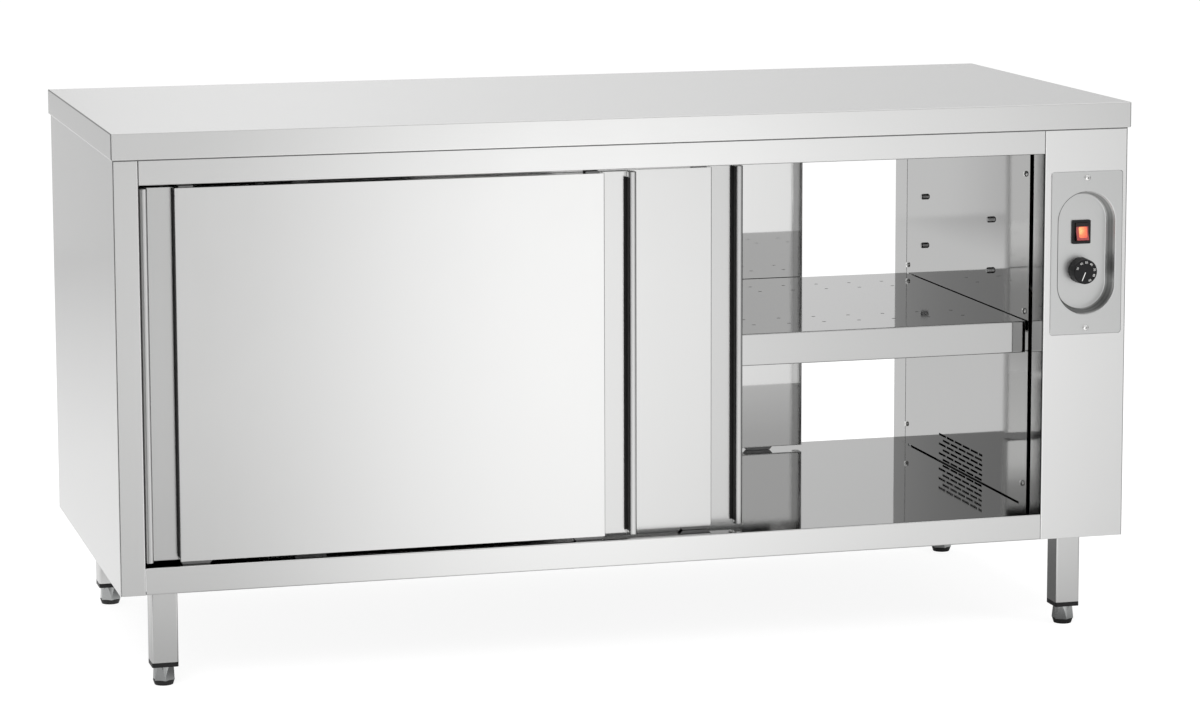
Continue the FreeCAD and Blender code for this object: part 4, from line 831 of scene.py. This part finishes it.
# The zone under and behind the body, darker in mirrors: X and Y of its soft borders, and level.
SHADED_X, SHADED_Y, SHADED_LEVEL = (-0.70, -0.64, 0.72, 0.82), (-0.46, -0.34, 0.75, 1.15), 0.24


def soft_band(graph, value, start, full, last, end):
    """0 up to start, 1 from full to last, and 0 again from end on."""
    return graph.times(graph.span(value, start, full), graph.span(value, last, end, 1.0, 0.0))


def floor_look(name):
    graph = Graph(name)
    path = graph.node("ShaderNodeLightPath")
    place = graph.place()
    x, y, _ = graph.parts(place)
    # What the front mirrors dims towards the body; beside and behind it the levels are others.
    near = graph.span(y, -0.95, -0.55, 1.0, 0.8)
    low = graph.span(y, -2.9, -1.0, 1.0, 0.88)
    front = graph.times(front_level(graph, x, y), graph.times(near, low))
    beside = graph.span(y, 1.5, 4.4, 0.88, 0.62)
    rear = graph.mixed("FLOAT", graph.span(x, -1.15, -0.8), beside, 0.97)
    mirrored = graph.mixed("FLOAT", graph.span(y, -0.4, 0.4), front, rear)
    shaded = graph.times(soft_band(graph, x, *SHADED_X), soft_band(graph, y, *SHADED_Y))
    mirrored = graph.times(mirrored, graph.where(shaded, SHADED_LEVEL))
    glow = graph.emission(graph.mixed("FLOAT", path.outputs["Is Glossy Ray"], FLOOR_GLOW, mirrored))
    speck = graph.noise(place, 3.0, detail=3.0)
    base = graph.node("ShaderNodeBsdfDiffuse")
    graph.put(base.inputs["Color"], graph.tinted(FLOOR_GREY, graph.varied(speck, 0.99, 1.01)))
    share = graph.mixed("FLOAT", path.outputs["Is Glossy Ray"], *GLOW_SHARES)
    blend = graph.node("ShaderNodeMixShader")
    graph.put(blend.inputs[0], graph.times(graph.seen(path), share))
    graph.put(blend.inputs[1], base.outputs[0])
    graph.put(blend.inputs[2], glow)
    return graph.finish(blend.outputs[0])


flat("floor", [(x * FLOOR_REACH, y * FLOOR_REACH, 0) for x, y in SQUARE],
     floor_look("studio_floor"))


def card(name, start, end, height, level_of):
    """An upright card on the floor that only reflections see; level_of gives its brightness from
    a graph and its X, Y and Z."""
    graph = Graph(name)
    look = graph.finish(graph.emission(level_of(graph, *graph.parts(graph.place()))))
    item = flat(name, [(*start, 0), (*end, 0), (*end, height), (*start, height)], look)
    item.visible_camera = False
    item.visible_diffuse = False
    item.visible_transmission = False
    item.visible_shadow = False


# Above the body's front the card is dim, but for one bright patch that the inner wall mirrors.
PATCH_X, PATCH_Z, PATCH_LEVEL, ABOVE_LEVEL = (-1.35, -1.2, -0.87, -0.77), (1.02, 1.08), 1.5, 0.62


def front_card_level(graph, x, y, z):
    """As the floor up to the height of the body, then what only the inside mirrors."""
    patch = graph.times(soft_band(graph, x, *PATCH_X), graph.span(z, *PATCH_Z, 1.0, 0.0))
    above = graph.mixed("FLOAT", patch, ABOVE_LEVEL, PATCH_LEVEL)
    return graph.mixed("FLOAT", graph.span(z, 0.6, 0.9), front_level(graph, x, y), above)


REAR_HIGH = ((0.0, 0.36), (0.08, 0.42), (0.23, 0.93), (0.45, 0.84), (0.7, 0.73), (1.0, 0.63))


def rear_card_level(graph, x, y, z):
    """Low down the inner wall and the left side see it, higher up the shelf and the worktop."""
    low = graph.span(x, -1.35, -1.0, 0.62, 0.97)
    high = graph.ramp(graph.span(x, -1.2, 3.2), REAR_HIGH)
    return graph.mixed("FLOAT", graph.span(z, 0.4, 0.75), low, high)


def flag_level(graph, x, y, z):
    """Dark, for the flags at the ends and before the left front corner."""
    return graph.span(z, 0.0, 3.0, 0.16, 0.24)


card("front_card", (-6, -3.4), (7, -3.4), 5, front_card_level)
card("rear_card", (-6, 4.5), (9, 4.5), 5, rear_card_level)
card("left_flag", (-4.2, -3.4), (-4.2, 0.4), 3, flag_level)
card("right_flag", (4.6, -3.4), (4.6, 2.4), 3, flag_level)
card("corner_flag", (-2.6, -0.8), (-0.81, -0.8), 2, flag_level)

LAMP_AIM = Vector((0, 0, 0.5))


def lamp(name, spot, size, power):
    data = bpy.data.lights.new(name, "AREA")
    data.shape = "RECTANGLE"
    data.size, data.size_y = size
    data.energy = power
    item = bpy.data.objects.new(name, data)
    scene.collection.objects.link(item)
    item.location = spot
    item.rotation_euler = (LAMP_AIM - Vector(spot)).to_track_quat("-Z", "Y").to_euler()
    item.visible_glossy = False


lamp("key", (-2.6, -3.6, 3.6), (2.4, 1.8), 95)
lamp("overhead", (0.4, 0.3, 4.2), (3.5, 2.5), 95)
lamp("fill", (3.4, -3.0, 2.4), (1.8, 1.8), 35)

# The world's strength as a light, and where it is seen.
WORLD_LIGHT, WORLD_SEEN = 0.55, 1.0


def world_look(name):
    """White all round, dimmer as a light than where it is seen."""
    graph = Graph(name, world=True)
    background = graph.node("ShaderNodeBackground")
    background.inputs["Color"].default_value = (1, 1, 1, 1)
    seen = graph.seen(graph.node("ShaderNodeLightPath"))
    graph.put(background.inputs["Strength"], graph.span(seen, 0, 1, WORLD_LIGHT, WORLD_SEEN))
    return graph.finish(background.outputs[0])


scene.world = world_look("studio")
scene.view_settings.view_transform = "Standard"

# Camera: the photograph's viewpoint, worked out from the corners of the worktop, body and legs.
CAMERA_SPOT = Vector((-1.6002, -5.9544, 1.4508))
YAW, PITCH, ROLL = 0.2679, 0.1382, -0.0027
FOCAL_PIXELS, MIDDLE_ROW = 3884.8, 250.0
SENSOR = 36.0
forward = Vector((math.sin(YAW) * math.cos(PITCH), math.cos(YAW) * math.cos(PITCH),
                  -math.sin(PITCH)))
right = Vector((math.cos(YAW), -math.sin(YAW), 0))
up = right.cross(forward)
right, up = (right * math.cos(ROLL) + up * math.sin(ROLL),
             up * math.cos(ROLL) - right * math.sin(ROLL))
camera_data = bpy.data.cameras.new("camera")
camera_data.sensor_width = SENSOR
camera_data.lens = SENSOR * FOCAL_PIXELS / PAGE_WIDTH
camera_data.shift_y = (MIDDLE_ROW - PAGE_HEIGHT / 2) / PAGE_WIDTH
camera_data.clip_end = 200
camera = bpy.data.objects.new("camera", camera_data)
scene.collection.objects.link(camera)
camera.matrix_world = Matrix((
    (right.x, up.x, -forward.x, CAMERA_SPOT.x),
    (right.y, up.y, -forward.y, CAMERA_SPOT.y),
    (right.z, up.z, -forward.z, CAMERA_SPOT.z),
    (0, 0, 0, 1),
))
scene.camera = camera
